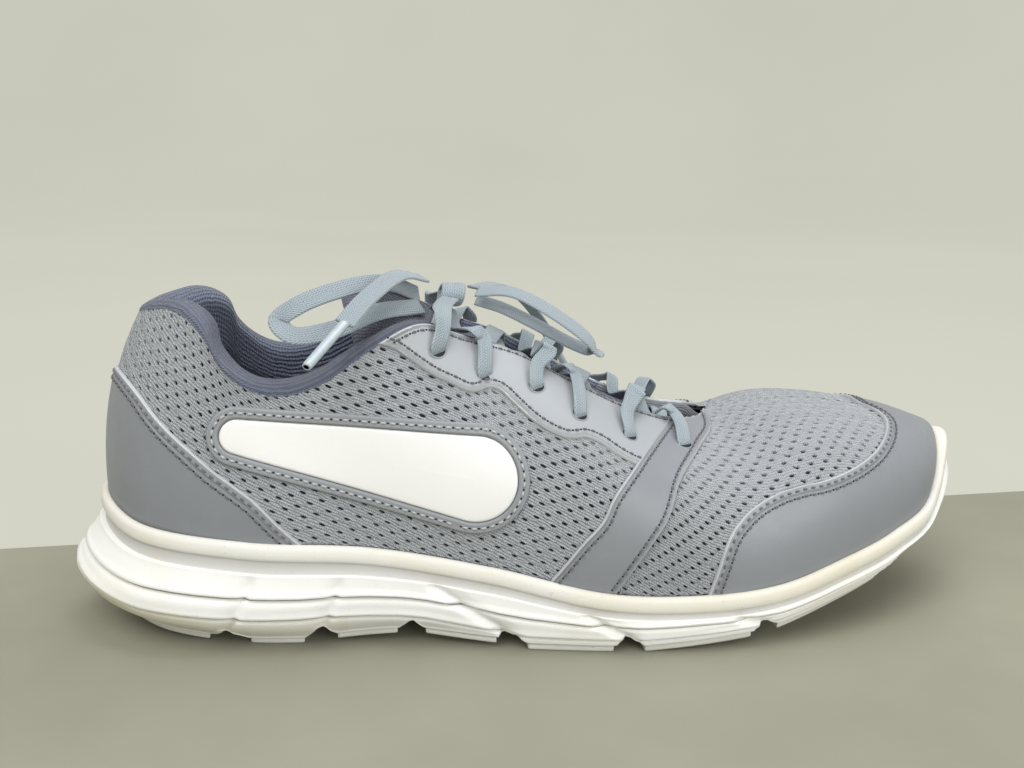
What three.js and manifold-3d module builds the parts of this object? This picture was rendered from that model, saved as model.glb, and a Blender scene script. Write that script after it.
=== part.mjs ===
// Low-cut lace-up running shoe, right foot. Millimetres, +X to the toe, +Y to the inner side, +Z up.
// Origin: bottom centre of the shoe's bounding box, on the ground.
import * as THREE from "three";
import { mergeVertices } from "three/addons/utils/BufferGeometryUtils.js";
import Module from "manifold-3d";

const wasm = await Module();
wasm.setup();

// ---- driving dimensions -------------------------------------------------------------------
const GAP = 0.3; // between two pieces that touch
const MESH = 1.6; // knitted outer mesh
const OVERLAY = 1.0; // bonded panels on the mesh
const STIFFENER = 1.3; // heel counter and toe puff
const LINING = 1.0;
const LINING_AT = MESH + 2 * GAP + STIFFENER; // depth of the lining's outer face
const PAD = 2.2; // outsole rubber
const FOAM_INSOLE = 3.7;
const CLOTH = 0.8;
const TONGUE = [0.9, 2.8, 0.8]; // cover, foam, lining
const LACE_WIDE = 6;
const LACE_THICK = 1.1;
const EYELET_R = 3;
const LAST = 22; // station of the toe tip; the middle of the heel is station 0

// station, x, y outer side, y inner side, z: the line where the upper meets the midsole rim
const FEATHER = [
  [0, -137.5, 0, 0, 42.5], [2, -124, -24.5, 24.5, 37.6], [4, -93, -35.4, 34.2, 34.8],
  [6, -57, -36.8, 32.2, 32.4], [8, -22, -41.3, 33.2, 26.8], [10, 12, -46.8, 40.6, 19.4],
  [12, 41, -48.6, 46.4, 18.2], [14, 66, -46.2, 48.3, 19.6], [16, 88, -41, 46.4, 25],
  [18, 108.5, -33, 41, 30.4], [20, 127.5, -19.8, 31.5, 37.3], [21, 136, -7, 22, 43.4],
  [22, 142, 9, 9, 50.5],
];
// the same columns for the collar, the throat edge and, from RIDGE on, the top of the vamp
const RIDGE = 15;
const TOPLINE = [
  [0, -126, 0, 0, 97.5], [1, -121.5, -9.5, 9.5, 99.3], [2, -113, -18.5, 18.5, 100.2],
  [3, -105, -26, 26, 95], [4, -97.5, -30.5, 30.5, 83.5], [5, -86, -32.5, 32.5, 77.8],
  [6, -72, -32.5, 32.5, 80.5], [7, -57, -30, 30.5, 90.5], [8, -43, -24.5, 25.5, 96.6],
  [9, -30, -18, 19, 92], [10, -14, -15.5, 17, 87], [11, 4, -14.5, 16, 77.5],
  [12, 22, -13.5, 15.5, 68.6], [13, 38, -12, 14.5, 63.2], [14, 50, -7.5, 11, 62.2],
  [15, 57.5, 2, 2, 63.8], [16, 70, 3, 3, 65.6], [17, 84, 3.8, 3.8, 66], [18, 98, 4.5, 4.5, 65.2],
  [19, 111.5, 5.5, 5.5, 62.9], [20, 122, 6.3, 6.3, 60.9], [21, 130, 7.3, 7.3, 58.4], [22, 136.5, 8.3, 8.3, 55.9],
];
// station, outward lean at the rim (degrees), slope at the top (degrees), fullness low and high
const RIB = [
  [0, 2, 62, 0.42, 0.3], [2, 4, 66, 0.42, 0.3], [4, 7, 80, 0.4, 0.3], [6, 8, 74, 0.4, 0.3],
  [8, 8, 56, 0.42, 0.32], [10, 8, 36, 0.5, 0.34], [12, 7, 30, 0.52, 0.36], [14, 6, 14, 0.55, 0.42],
  [15.2, 6, 3, 0.55, 0.48], [18, 6, 0, 0.55, 0.5], [22, 10, 0, 0.5, 0.45],
];
// station, bottom edge offset, widest offset, widest height: the midsole's side, from the rim line
const SIDE = [
  [0, -2, 12.5, 19.5], [2, -3.5, 9.5, 17], [4, -4, 6.5, 15], [6, -2.5, 4.5, 15], [8, 0.5, 4, 13],
  [10, 1, 4, 9], [12, 1, 4, 9], [14, 0.8, 4, 11], [16, -0.8, 3.8, 17], [18, -2, 3.5, 23],
  [20, -2.2, 3.8, 31], [22, -3, 7.4, 41],
];
// x from, x to, z from, z to of the rubber pads' undersides, and x, z of the groove after each
const PADS = [
  [-132, -106, 2.6, 0.5, -99.8, 6.6], [-93.5, -77.5, 0, 0, -72.2, 7.8], [-67.5, -49.5, 1.2, 3.2, -45.2, 9.6],
  [-41, -20, 3.6, 1.6, -17, 6], [-10.5, 15, 0, 0, 18.8, 5.4], [24.5, 58, 0, 2.8, 61.6, 8.8],
  [67, 105.5, 4.4, 13.2, 108.4, 20.4], [113, 137, 17, 26.2, 0, 0],
];
// x, z of the floor of the midsole cup
const FOOTBED = [[-150, 27.5], [-60, 26.5], [-10, 20], [25, 13], [60, 13.5], [85, 19], [110, 27], [134, 35.5], [150, 41]];
// station, height on the rib, station where a lace from it crosses the throat edge
const EYELETS = [
  [8.11, 0.874, 8.43], [8.94, 0.798, 9.42], [9.87, 0.782, 10.36], [10.42, 0.689, 11.05],
  [11.41, 0.697, 11.94], [12.73, 0.765, 13.15],
];
const COLLAR_FOAM = [[0, 5.5], [5, 5.5], [6, 4.8], [7, 3.2], [8, 1], [9, 0]];
// station, x and z of the tongue's middle, height on the rib where its edge lies
const TONGUE_ROWS = [
  [6.8, -66, 103, 0.97], [7.4, -56, 105.2, 0.88], [8, -45.5, 102.5, 0.8], [9, -33, 93.5, 0.72],
  [10, -16, 86.5, 0.7], [11, 2, 77.5, 0.7], [12, 20.5, 69, 0.7], [13, 37, 62.5, 0.66],
  [14, 50, 59, 0.66], [15, 58.5, 56, 0.72], [15.8, 67.5, 57, 0.8],
];

// ---- curves -------------------------------------------------------------------------------
const V = (x, y, z) => new THREE.Vector3(x, y, z);
const UP = V(0, 0, 1);
const fold = (q) => (q <= LAST ? q : 2 * LAST - q);
const wrap = (q) => ((q % (2 * LAST)) + 2 * LAST) % (2 * LAST);
const clamp = THREE.MathUtils.clamp;

// straight-line reading of a table of rows [key, value]
function read(table, x) {
  const i = clamp(table.findIndex((r) => r[0] > x), 1, table.length - 1);
  const j = x >= table.at(-1)[0] ? table.length - 1 : i;
  const [x0, v0] = table[j - 1];
  const [x1, v1] = table[j];
  return v0 + (v1 - v0) * clamp((x - x0) / (x1 - x0), 0, 1);
}

// cubic through keyed rows of numbers
function spline(rows) {
  const key = rows.map((r) => r[0]);
  const val = rows.map((r) => r.slice(1));
  const slope = val.map((v, i) =>
    v.map((_, c) => {
      if (i === 0 || i === val.length - 1) return 0;
      const [h0, h1] = [key[i] - key[i - 1], key[i + 1] - key[i]];
      return ((h1 * (v[c] - val[i - 1][c])) / h0 + (h0 * (val[i + 1][c] - v[c])) / h1) / (h0 + h1);
    }),
  );
  return (q) => {
    let i = 0;
    while (i < key.length - 2 && key[i + 1] <= q) i++;
    const h = key[i + 1] - key[i];
    const w = clamp((q - key[i]) / h, 0, 1);
    const [a, b] = [2 * w ** 3 - 3 * w ** 2 + 1, w ** 3 - 2 * w ** 2 + w];
    const [c, d] = [3 * w ** 2 - 2 * w ** 3, w ** 3 - w ** 2];
    return val[i].map((v, n) => a * v + b * h * slope[i][n] + c * val[i + 1][n] + d * h * slope[i + 1][n]);
  };
}

// closed curve round the shoe: stations 0..22 along the outer side, 22..44 back along the inner
function loop(rows) {
  const outer = rows.map(([k, x, y, , z]) => [k, x, y, z]);
  const inner = rows.slice(1, -1).reverse().map(([k, x, , y, z]) => [2 * LAST - k, x, y, z]);
  const all = [...outer, ...inner];
  const turn = (list, by) => list.map(([k, ...p]) => [k + by, ...p]);
  const f = spline([...turn(all.slice(-3), -2 * LAST), ...all, ...turn(all.slice(0, 3), 2 * LAST)]);
  return (q) => V(...f(wrap(q)));
}
const featherLoop = loop(FEATHER);
const toplineLoop = loop(TOPLINE);
const ribAt = spline(RIB);
const sideAt = spline(SIDE);

const isSeam = (q) => fold(wrap(q)) >= RIDGE - 1e-9;
function topline(q) {
  const p = toplineLoop(q);
  return isSeam(q) ? p.lerp(toplineLoop(2 * LAST - wrap(q)), 0.5) : p;
}
function feather(q) {
  const p = featherLoop(q);
  const arch = wrap(q) > LAST ? 4 * Math.exp(-(((fold(wrap(q)) - 6.5) / 2.6) ** 2)) : 0;
  return p.setZ(p.z + arch);
}
// level direction pointing out of the shoe at the rim line
function outward(q) {
  const t = feather(q + 0.02).sub(feather(q - 0.02));
  return V(t.y, -t.x, 0).normalize();
}
// the outer face of the mesh; t runs 0 at the rim line to 1 at the topline
function skin(q, t) {
  const [F, T] = [feather(q), topline(q)];
  const [lean, slope, low, high] = ribAt(fold(wrap(q)));
  const d = T.distanceTo(F);
  const inward = V(T.x - F.x, T.y - F.y, 0).normalize();
  const [a, b] = [THREE.MathUtils.degToRad(lean), THREE.MathUtils.degToRad(slope)];
  const start = outward(q).multiplyScalar(Math.sin(a)).addScaledVector(UP, Math.cos(a));
  const end = inward.multiplyScalar(Math.cos(b)).addScaledVector(UP, Math.sin(b));
  const P = F.clone().addScaledVector(start, low * d);
  const Q = T.clone().addScaledVector(end, -high * d);
  return new THREE.CubicBezierCurve3(F, P, Q, T).getPoint(t);
}
function facing(q, t) {
  const e = 0.04;
  const along = skin(q + e, t).sub(skin(q - e, t));
  const u = Math.min(t, 1 - 0.002);
  const rise = skin(q, u + 0.002).sub(skin(q, u - 0.002));
  return along.cross(rise).normalize();
}
// on the ridge of the vamp both sides share one point and one direction
function normal(q, t) {
  if (!isSeam(q) || t < 0.999) return facing(q, t);
  const k = fold(wrap(q));
  return facing(k, t).add(facing(2 * LAST - k, t)).normalize();
}
const off = (q, t, d) => skin(isSeam(q) && t > 0.999 ? fold(wrap(q)) : q, t).addScaledVector(normal(q, t), d);
const footbed = (x) => read(FOOTBED, x);

// ---- solids -------------------------------------------------------------------------------
function soup(points) {
  const g = new THREE.BufferGeometry().setFromPoints(points);
  const m = mergeVertices(g, 1e-3);
  const tri = [];
  for (let i = 0; i < m.index.count; i += 3) {
    const [a, b, c] = [0, 1, 2].map((n) => m.index.getX(i + n));
    if (a !== b && b !== c && c !== a) tri.push(a, b, c);
  }
  return new wasm.Manifold(
    new wasm.Mesh({ numProp: 3, vertProperties: m.attributes.position.array, triVerts: new Uint32Array(tri) }),
  );
}
function fromThree(geometry) {
  const g = geometry.index ? geometry.toNonIndexed() : geometry;
  const p = g.attributes.position;
  return soup(Array.from({ length: p.count }, (_, i) => new THREE.Vector3().fromBufferAttribute(p, i)));
}
const quad = (list, a, b, c, d) => list.push(a, b, c, a, c, d);

// solid between two faces given column by column, both from bottom to top
function shell(columns, { ring = true, floor = true, extra = [] } = {}) {
  const list = [...extra];
  const n = columns.length;
  for (let i = 0; i < (ring ? n : n - 1); i++) {
    const [A, B] = [columns[i], columns[(i + 1) % n]];
    const [m, w] = [A.out.length - 1, A.in.length - 1];
    for (let j = 0; j < m; j++) quad(list, A.out[j], B.out[j], B.out[j + 1], A.out[j + 1]);
    for (let j = 0; j < w; j++) quad(list, A.in[j], A.in[j + 1], B.in[j + 1], B.in[j]);
    if (floor) quad(list, A.in[0], B.in[0], B.out[0], A.out[0]);
    if (!(A.seam && B.seam)) quad(list, A.out[m], B.out[m], B.in[w], A.in[w]);
  }
  if (!ring) {
    const [A, B] = [columns[0], columns[n - 1]];
    for (let j = 0; j < A.out.length - 1; j++) {
      quad(list, A.out[j], A.out[j + 1], A.in[j + 1], A.in[j]);
      quad(list, B.out[j], B.in[j], B.in[j + 1], B.out[j + 1]);
    }
  }
  return soup(list);
}
const range = (from, to, step = 1) =>
  Array.from({ length: Math.round((to - from) / step) + 1 }, (_, i) => from + i * step);
const RING = range(0, 2 * LAST - 1);
const ROWS = [0, 0.16, 0.34, 0.54, 0.77, 1];

// flat faces across the shoe between the two sides of a loop
function deck(point, up) {
  const list = [];
  for (const k of range(0, LAST - 1)) {
    const [a, b, c, d] = [point(k), point(k + 1), point(2 * LAST - k - 1), point(2 * LAST - k)];
    if (up) quad(list, a, b, c, d);
    else quad(list, a, d, c, b);
  }
  return list;
}
function rimPoint(q, d, z) {
  const p = feather(q).addScaledVector(outward(q), d);
  return p.setZ(typeof z === "function" ? z(p.x) : z);
}
// a sheet that fills the plan outline, d inside the rim line
function board(d, low, high) {
  const [bottom, top] = [(q) => rimPoint(q, d, low), (q) => rimPoint(q, d, high)];
  const list = [...deck(top, true), ...deck(bottom, false)];
  for (const q of RING) quad(list, bottom(q), bottom(q + 1), top(q + 1), top(q));
  return soup(list);
}
// prism of a side-view outline [x, z], through the whole width or one side of it
function prism(outline, y0 = -90, y1 = 90) {
  const shape = new THREE.Shape(outline.map(([x, z]) => new THREE.Vector2(x, z)));
  const g = new THREE.ExtrudeGeometry(shape, { depth: y1 - y0, bevelEnabled: false });
  return fromThree(g.rotateX(Math.PI / 2).translate(0, y1, 0));
}
const biggest = (solid) =>
  solid.decompose().reduce((a, b) => (Math.abs(b.volume()) > Math.abs(a.volume()) ? b : a));

// ---- layers of the upper --------------------------------------------------------------------
function layer(qs, outside, inside, { rows = ROWS, cup = 0.4, ring = true } = {}) {
  const column = (q) => {
    const face = (d) => {
      const side = rows.map((t) => off(q, t, d));
      return cup === null ? side : [rimPoint(q, d, (x) => footbed(x) + cup), ...side];
    };
    return { out: face(outside), in: face(inside), seam: isSeam(q) && rows.at(-1) === 1 };
  };
  return shell(qs.map(column), { ring });
}
const foamAt = (q) => read(COLLAR_FOAM, fold(wrap(q)));
const swell = (t) => clamp((t - 0.5) / 0.28, 0, 1) ** 1.5;
const padded = (q, t) => LINING_AT + foamAt(q) * swell(t);

// points of the rolled collar edge: half an oval over the topline, from the inner to the outer side
function roll(q, near, far, height) {
  if (isSeam(q)) return range(1, 4).map(() => off(q, 1, -far));
  const T = skin(q, 1);
  const n = normal(q, 1);
  const up = skin(q, 1).sub(skin(q, 0.99)).normalize();
  return [0.25, 0.5, 0.75, 1].map((f) => {
    const a = Math.PI * f;
    const b = -(near + far) / 2 - ((far - near) / 2) * Math.cos(a);
    return T.clone().addScaledVector(n, b).addScaledVector(up, GAP + height * Math.sin(a));
  });
}
const rollHeight = (q) => 0.9 + 0.42 * foamAt(q);
function liningColumn(q) {
  const rows = (d) => ROWS.map((t) => off(q, t, -padded(q, t) - d));
  const floor = (d) => rimPoint(q, -LINING_AT - d, (x) => footbed(x) + 2.2);
  const end = LINING_AT + foamAt(q);
  const h = rollHeight(q);
  return {
    out: [floor(0), ...rows(0), ...roll(q, GAP + LINING, end, h)],
    in: [floor(LINING), ...rows(LINING), ...roll(q, GAP, end + LINING, h + LINING)],
    seam: isSeam(q),
  };
}
function foamColumn(q) {
  const rows = [0.6, 0.77, 1];
  const h = rollHeight(q) - GAP;
  const end = LINING_AT + foamAt(q) - GAP;
  return {
    out: rows.map((t) => off(q, t, -MESH - GAP)),
    in: [...rows.map((t) => off(q, t, -padded(q, t) + GAP)), ...roll(q, MESH + GAP, end, h)],
  };
}
function collarFoam() {
  const columns = range(2 * LAST - 7, 2 * LAST + 7).map(foamColumn);
  // the padding's outer face ends where the oval comes back to the mesh
  for (const c of columns) c.out.push(...Array(4).fill(c.out.at(-1)));
  return shell(columns, { ring: false });
}

// seam line between the quarter and the vamp, under the forefoot band
const SEAM = [[52, 78], [45, 60], [35, 45.5], [11.5, 20], [-4, 2]];
const shift = (line, dx) => line.map(([x, z]) => [x + dx, z]);
const behind = prism([[-200, 2], [-4, 2], ...SEAM.slice(0, -1).reverse(), [52, 140], [-200, 140]]);
const ahead = prism([[200, 2], [200, 140], [52 + GAP * 1.4, 140], ...shift(SEAM, GAP * 1.4)]);

// ---- outlines of the panels, side view [x, z] -------------------------------------------------
const HEEL = [[-77.5, 33], [-86.6, 43.4], [-95.7, 51.7], [-106.5, 60.3], [-117.2, 69.6], [-123.2, 75.6], [-128.3, 79.1], [-137, 80.8]];
const TOE = [
  [42.3, 17.5], [45.2, 26], [48.2, 34.5], [53.6, 41.1], [59.6, 45], [73.9, 49], [87.8, 51.6], [95.6, 53.8],
  [103.1, 56.8], [108.6, 59.6], [113.5, 62.5], [113.8, 66],
];
const EYESTAY = [
  [-55, 93.5], [-44.6, 86.8], [-39.1, 83.1], [-33.3, 80.3], [-27, 78.1], [-21.8, 78.7], [-18.4, 77.5], [-10.8, 70.7],
  [-6.5, 67.8], [-0.8, 65.3], [6.8, 64.9], [11.1, 62.8], [15.3, 60], [21.4, 56.8],
];
const BAND_REAR = [[38, 69], [35.4, 64.6], [23, 51], [10, 36.5], [-4, 23], [-11, 14]];
const BAND_FRONT = [[52, 68], [46, 59.4], [36, 47.8], [25, 33.6], [13.5, 20], [8, 12]];
// plain side panel: two circles joined by straight lines
const PLAIN = { tail: [-95, 66, 5], head: [-27, 53.5, 12.5] };
function plainOutline(grow) {
  const [[x0, z0, r0], [x1, z1, r1]] = [PLAIN.tail, PLAIN.head];
  const line = Math.atan2(z1 - z0, x1 - x0);
  const lean = Math.acos((r0 - r1) / Math.hypot(x1 - x0, z1 - z0));
  const arc = (x, z, r, from, to) =>
    range(0, 8).map((i) => {
      const a = from + ((to - from) * i) / 8;
      return [x + r * Math.cos(a), z + r * Math.sin(a)];
    });
  return [
    ...arc(x1, z1, r1 + grow, line - lean, line + lean),
    ...arc(x0, z0, r0 + grow, line + lean, line + 2 * Math.PI - lean),
  ];
}
const heelPrism = prism([[-160, 10], [-77.5, 10], ...HEEL, [-160, 81]]);
const toePrism = prism([[36, 5], ...TOE, [113.8, 90], [170, 90], [170, 5]]);
const bandOutline = [...BAND_REAR, ...[...BAND_FRONT].reverse()];
const eyeOutline = [...EYESTAY, [31.5, 60.6], [34.9, 64.8], [37.4, 69.2], [37, 90], [-20, 120], [-58, 120], [-57, 96]];

const overlays = layer(RING, GAP + OVERLAY, GAP, { rows: [0.012, ...ROWS.slice(1)], cup: null });
const SIDES = { lateral: [-90, 0], medial: [0, 90] };
const holes = Object.entries(SIDES).flatMap(([side]) =>
  EYELETS.map(([k, t]) => {
    const q = side === "lateral" ? k : 2 * LAST - k;
    const g = new THREE.CylinderGeometry(EYELET_R, EYELET_R, 12, 8);
    g.applyQuaternion(new THREE.Quaternion().setFromUnitVectors(V(0, 1, 0), normal(q, t)));
    const c = off(q, t, -1.5);
    return fromThree(g.translate(c.x, c.y, c.z));
  }),
);
const punch = (solid) => holes.reduce((s, h) => s.subtract(h), solid);

// ---- midsole and outsole ------------------------------------------------------------------
const underside = (x) => {
  const line = PADS.flatMap(([x0, x1, z0, z1]) => [[x0, z0], [x1, z1]]);
  return read([[-160, 7.6], ...line, [150, 33]], x);
};
function wallColumn(q) {
  const k = fold(wrap(q));
  const [edge, wide, height] = sideAt(k);
  const F = feather(q);
  const low = underside(F.x) + PAD + GAP;
  const g = clamp((F.z - low) / 32, 0.45, 1);
  const tip = 3.9 * clamp((k - 20) / 2, 0, 1) ** 2; // the bumper stands out at the toe
  const profile = [
    [edge, Math.min(low - 14, -4)], [edge, low], [edge * 0.3 + wide * 0.7, low * 0.55 + height * 0.45],
    [wide, height], [wide * 0.45 + 2.1 + tip / 2, height * 0.35 + (F.z - 5 - 4.5 * g) * 0.65],
    [tip + 3.8, F.z - 4.9 - 4.1 * g], [tip + 2.4, F.z - 4.5 - 3.8 * g], [tip + 2.3, F.z - 4.9],
    [tip + 3.4, F.z - 4.2], [2.5, F.z - 0.1],
  ];
  return {
    out: profile.map(([d, z]) => rimPoint(q, d, z)),
    in: [rimPoint(q, GAP, footbed), rimPoint(q, GAP, F.z - 0.1)],
  };
}
function underCut() {
  const line = PADS.flatMap(([x0, x1, z0, z1, gx, gz], i) => {
    const pad = [[x0 - 0.6, z0 + PAD + GAP], [x1 + 0.6, z1 + PAD + GAP]];
    return i < PADS.length - 1 ? [...pad, [gx - 1, gz], [gx + 1, gz]] : pad;
  });
  return prism([[-170, -40], [170, -40], [170, 60], [150, 35.5], ...line.reverse(), [-170, 14]]);
}
function midsole() {
  const columns = RING.map(wallColumn);
  const at = (name) => (q) => columns[wrap(q)][name][0];
  const extra = [...deck(at("in"), true), ...deck(at("out"), false)];
  return biggest(shell(columns, { floor: false, extra }).subtract(underCut()));
}
function soleFootprint() {
  const side = (q) => rimPoint(q, sideAt(fold(wrap(q)))[0] - 0.8, 0);
  const shape = new THREE.Shape(RING.map((q) => new THREE.Vector2(side(q).x, side(q).y)));
  return fromThree(new THREE.ExtrudeGeometry(shape, { depth: 60, bevelEnabled: false }).translate(0, 0, -10));
}
function pads() {
  const footprint = soleFootprint();
  return PADS.map(([x0, x1, z0, z1]) =>
    footprint.intersect(prism([[x0, z0], [x1, z1], [x1, z1 + PAD], [x0, z0 + PAD]])),
  );
}

// ---- tongue -------------------------------------------------------------------------------
// point of the tongue's outer face: row along it, w from -1 (outer side) to 1 (inner side)
const tongueClear = (k) => (k < 7.9 ? 1.2 : 3.6);
function tongueSection([k, x, z, t]) {
  const tuck = (q, u) => off(q, u, -(LINING_AT + LINING + foamAt(q) + tongueClear(k)));
  const m = 2 * LAST - k;
  return new THREE.CatmullRomCurve3(
    [tuck(k, t), tuck(k, (t + 1) / 2), tuck(k, 1), V(x, 0.6, z), tuck(m, 1), tuck(m, (t + 1) / 2), tuck(m, t)],
    false,
    "centripetal",
  );
}
// beyond the throat the vamp lining covers the tongue, so its middle follows the vamp
function tongueRow(row) {
  const [k] = row;
  if (k < RIDGE) return tongueSection(row);
  const deep = LINING_AT + LINING + tongueClear(k);
  const at = (q, t) => off(q, t, -deep);
  const m = 2 * LAST - k;
  const t = row[3];
  return new THREE.CatmullRomCurve3(
    [at(k, t), at(k, (t + 1) / 2), at(k, 0.93), at(k, 1), at(m, 0.93), at(m, (t + 1) / 2), at(m, t)],
    false,
    "centripetal",
  );
}
const ACROSS = range(0, 12).map((i) => i / 12);
const tongueGrid = TONGUE_ROWS.map((row) => ACROSS.map((u) => tongueRow(row).getPoint(u)));
function gridNormal(grid, i, j) {
  const at = (a, b) => grid[clamp(a, 0, grid.length - 1)][clamp(b, 0, grid[0].length - 1)];
  const along = at(i + 1, j).clone().sub(at(i - 1, j));
  const across = at(i, j + 1).clone().sub(at(i, j - 1));
  return along.cross(across).normalize();
}
const tongueNormals = tongueGrid.map((row, i) => row.map((_, j) => gridNormal(tongueGrid, i, j)));
function tongueLayer(top, bottom, trim = 0) {
  const face = (i, d) => {
    const row = tongueGrid[i].map((p, j) => p.clone().addScaledVector(tongueNormals[i][j], d));
    return trim ? row.slice(trim, -trim) : row;
  };
  const rows = range(trim, tongueGrid.length - 1);
  return shell(rows.map((i) => ({ out: face(i, -top), in: face(i, -bottom) })), { ring: false });
}
// height of the tongue's outer face over the middle, for the laces that lie on it
function tongueAt(k, u) {
  const keys = TONGUE_ROWS.map((r) => r[0]);
  const i = clamp(keys.findIndex((v) => v > k), 1, keys.length - 1);
  const f = clamp((k - keys[i - 1]) / (keys[i] - keys[i - 1]), 0, 1);
  const j = clamp(Math.floor(u * 12), 0, 11);
  const g = u * 12 - j;
  const mix = (grid) => {
    const row = (n) => grid[n][j].clone().lerp(grid[n][j + 1], g);
    return row(i - 1).lerp(row(i), f);
  };
  return { p: mix(tongueGrid), n: mix(tongueNormals).normalize() };
}

// ---- laces --------------------------------------------------------------------------------
// flat ribbon through stops [point, face direction, width, thickness]
function ribbon(stops, steps = 14) {
  const [path, face, size] = [(s) => s[0], (s) => s[1], (s) => V(s[2], s[3], 0)].map(
    (pick) => new THREE.CatmullRomCurve3(stops.map(pick)),
  );
  const sections = range(0, steps).map((i) => {
    const u = i / steps;
    const [p, s] = [path.getPoint(u), size.getPoint(u)];
    const t = path.getTangent(u);
    const n = face.getPoint(u).addScaledVector(t, -face.getPoint(u).dot(t)).normalize();
    const b = t.clone().cross(n);
    const at = (y, z) => p.clone().addScaledVector(b, (y * s.x) / 2).addScaledVector(n, (z * s.y) / 2);
    return [at(-1, -1), at(1, -1), at(1, 1), at(-1, 1)];
  });
  const list = [];
  for (let i = 0; i < steps; i++)
    for (let j = 0; j < 4; j++) {
      const [A, B, n] = [sections[i], sections[i + 1], (j + 1) % 4];
      quad(list, A[j], A[n], B[n], B[j]);
    }
  const [a, b] = [sections[0], sections[steps]];
  quad(list, a[0], a[3], a[2], a[1]);
  quad(list, b[0], b[1], b[2], b[3]);
  const made = soup(list);
  return made.volume() < 0 ? soup(list.map((_, i) => list[i - (i % 3) + 2 - (i % 3)])) : made;
}
const THIN = 2.6;
const THICK = 1.4;
const stationOf = (side, k) => (side === "lateral" ? k : 2 * LAST - k);
const other = (side) => (side === "lateral" ? "medial" : "lateral");
const stop = (q, t, d, wide = LACE_WIDE, thick = LACE_THICK) => [off(q, t, d), normal(q, t), wide, thick];
// the same stop where the lace runs through an eyelet, its flat face turned along the rib
function inHole(q, t, d, turn) {
  const rise = skin(q, t + 0.02).sub(skin(q, t - 0.02)).normalize();
  return [off(q, t, d), rise.multiplyScalar(turn), THIN, THICK];
}
const under = (q) => -(LINING_AT + LINING + foamAt(q) + 1.6);
// from an eyelet over the panel to the throat edge, heading for the station `to` of the other edge
function overEdge(side, row, to, lift) {
  const [k, t, e] = EYELETS[row];
  const q = (f) => stationOf(side, f);
  return [
    inHole(q(k), t, -0.5, -1), inHole(q(k), t, 2, -1),
    stop(q(k + (e - k) * 0.5), (1 + t) / 2, 3.5, 4.6), stop(q(e + (to - e) * 0.1), 0.97, 4 + lift, 5),
    stop(q(e + (to - e) * 0.2), 1, 4.9 + lift, 5),
  ];
}
// from an eyelet under the panel and the lining to the throat edge
function underEdge(side, row, to) {
  const [k, t, e] = EYELETS[row];
  const q = (f) => stationOf(side, f);
  const deep = under(k);
  return [
    inHole(q(k), t, -1 - THICK, 1), inHole(q(k), t, deep + 0.6, 1),
    stop(q(k + (e - k) * 0.6), t + 0.6 * (1 - t), deep, 5), stop(q(e + (to - e) * 0.2), 1, deep),
  ];
}
function middle(from, to, lifts, mirror) {
  return [0.4, 0.5, 0.6].map((u, i) => {
    const { p, n } = tongueAt(from + (to - from) * (0.5 + (u - 0.5) * 1.8), mirror ? 1 - u : u);
    return [p.addScaledVector(n, lifts[i]), n, i === 1 ? LACE_WIDE : LACE_WIDE - 1, LACE_THICK];
  });
}
function strap(side, from, to, first, last, lifts, more = 0) {
  const [a, b] = [EYELETS[from][2], EYELETS[to][2]];
  const mid = middle(a, b, lifts.map((h) => h + more), side === "medial");
  return ribbon([...first(side, from, b, more), ...mid, ...last(other(side), to, a, more).reverse()]);
}
function laceStraps() {
  const made = { lace_bar: strap("lateral", 5, 5, underEdge, underEdge, [1.3, 1.3, 1.3]) };
  const [HIGH, DEEP] = [[3.6, 3.6, 3.6], [1.4, 1.4, 1.4]];
  const kinds = [
    [5, 4, overEdge, overEdge, HIGH], [4, 3, underEdge, underEdge, DEEP], [3, 2, overEdge, overEdge, HIGH],
    [2, 1, underEdge, underEdge, DEEP], [1, 0, overEdge, underEdge, [4.2, 4.2, 4.2], [1.8, 1.8, 1.8]],
  ];
  kinds.forEach(([from, to, first, last, lifts, crossing]) =>
    ["lateral", "medial"].forEach((side, n) => {
      made[`lace_strap_${from + 1}_${to + 1}_${side}`] =
        crossing && n ? strap(side, from, to, first, last, crossing) : strap(side, from, to, first, last, lifts, 2.5 * n);
    }),
  );
  return made;
}
// the free part: knot, two loops and two ends, each a stop list of points with a width direction
const KNOT = V(-31, 0, 102.2);
function freeRibbon(points, face, steps = 18) {
  return ribbon(points.map((p) => [V(...p), V(...face), LACE_WIDE, LACE_THICK]), steps);
}
function knot() {
  const g = new THREE.IcosahedronGeometry(1, 1).scale(8, 6.5, 3.8);
  return fromThree(g.translate(KNOT.x, KNOT.y, KNOT.z));
}
function riser(side) {
  const s = side === "lateral" ? -1 : 1;
  const [k, t, e] = EYELETS[0];
  const q = (f) => stationOf(side, f);
  return ribbon(
    [
      inHole(q(k), t, -0.5, -1), inHole(q(k), t, 2, -1), stop(q((k + e) / 2), (1 + t) / 2, 3.4, 4.8),
      stop(q(e), 1, 3.8, 6), [V(-34.5, s * 12, 100.5), V(0, s * 0.3, 1), 6, LACE_THICK],
      [V(-32, s * 7.4, 102), V(0, s * 0.2, 1), 6, LACE_THICK],
    ],
    10,
  );
}
const LOOP_REAR = [
  [-41.5, -1, 102.5], [-52, -8, 107], [-66, -18, 106], [-78, -24, 102], [-83, -25, 98], [-79, -29, 94.5],
  [-68, -27, 95.5], [-55, -19, 99.5], [-41, -6, 99.3],
];
const LOOP_FRONT = [
  [-22.5, 1, 103], [-12, -4, 103.5], [0, -10, 98], [11, -14, 90], [14, -12, 85.5], [8, -6, 87], [-4, -2, 93],
  [-14, 2, 97.5], [-22.5, 4, 100],
];
const END_LATERAL = [[-40, 3.5, 107], [-48, -11, 109.6], [-58, -27, 104.5], [-64, -36, 99]];
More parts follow.
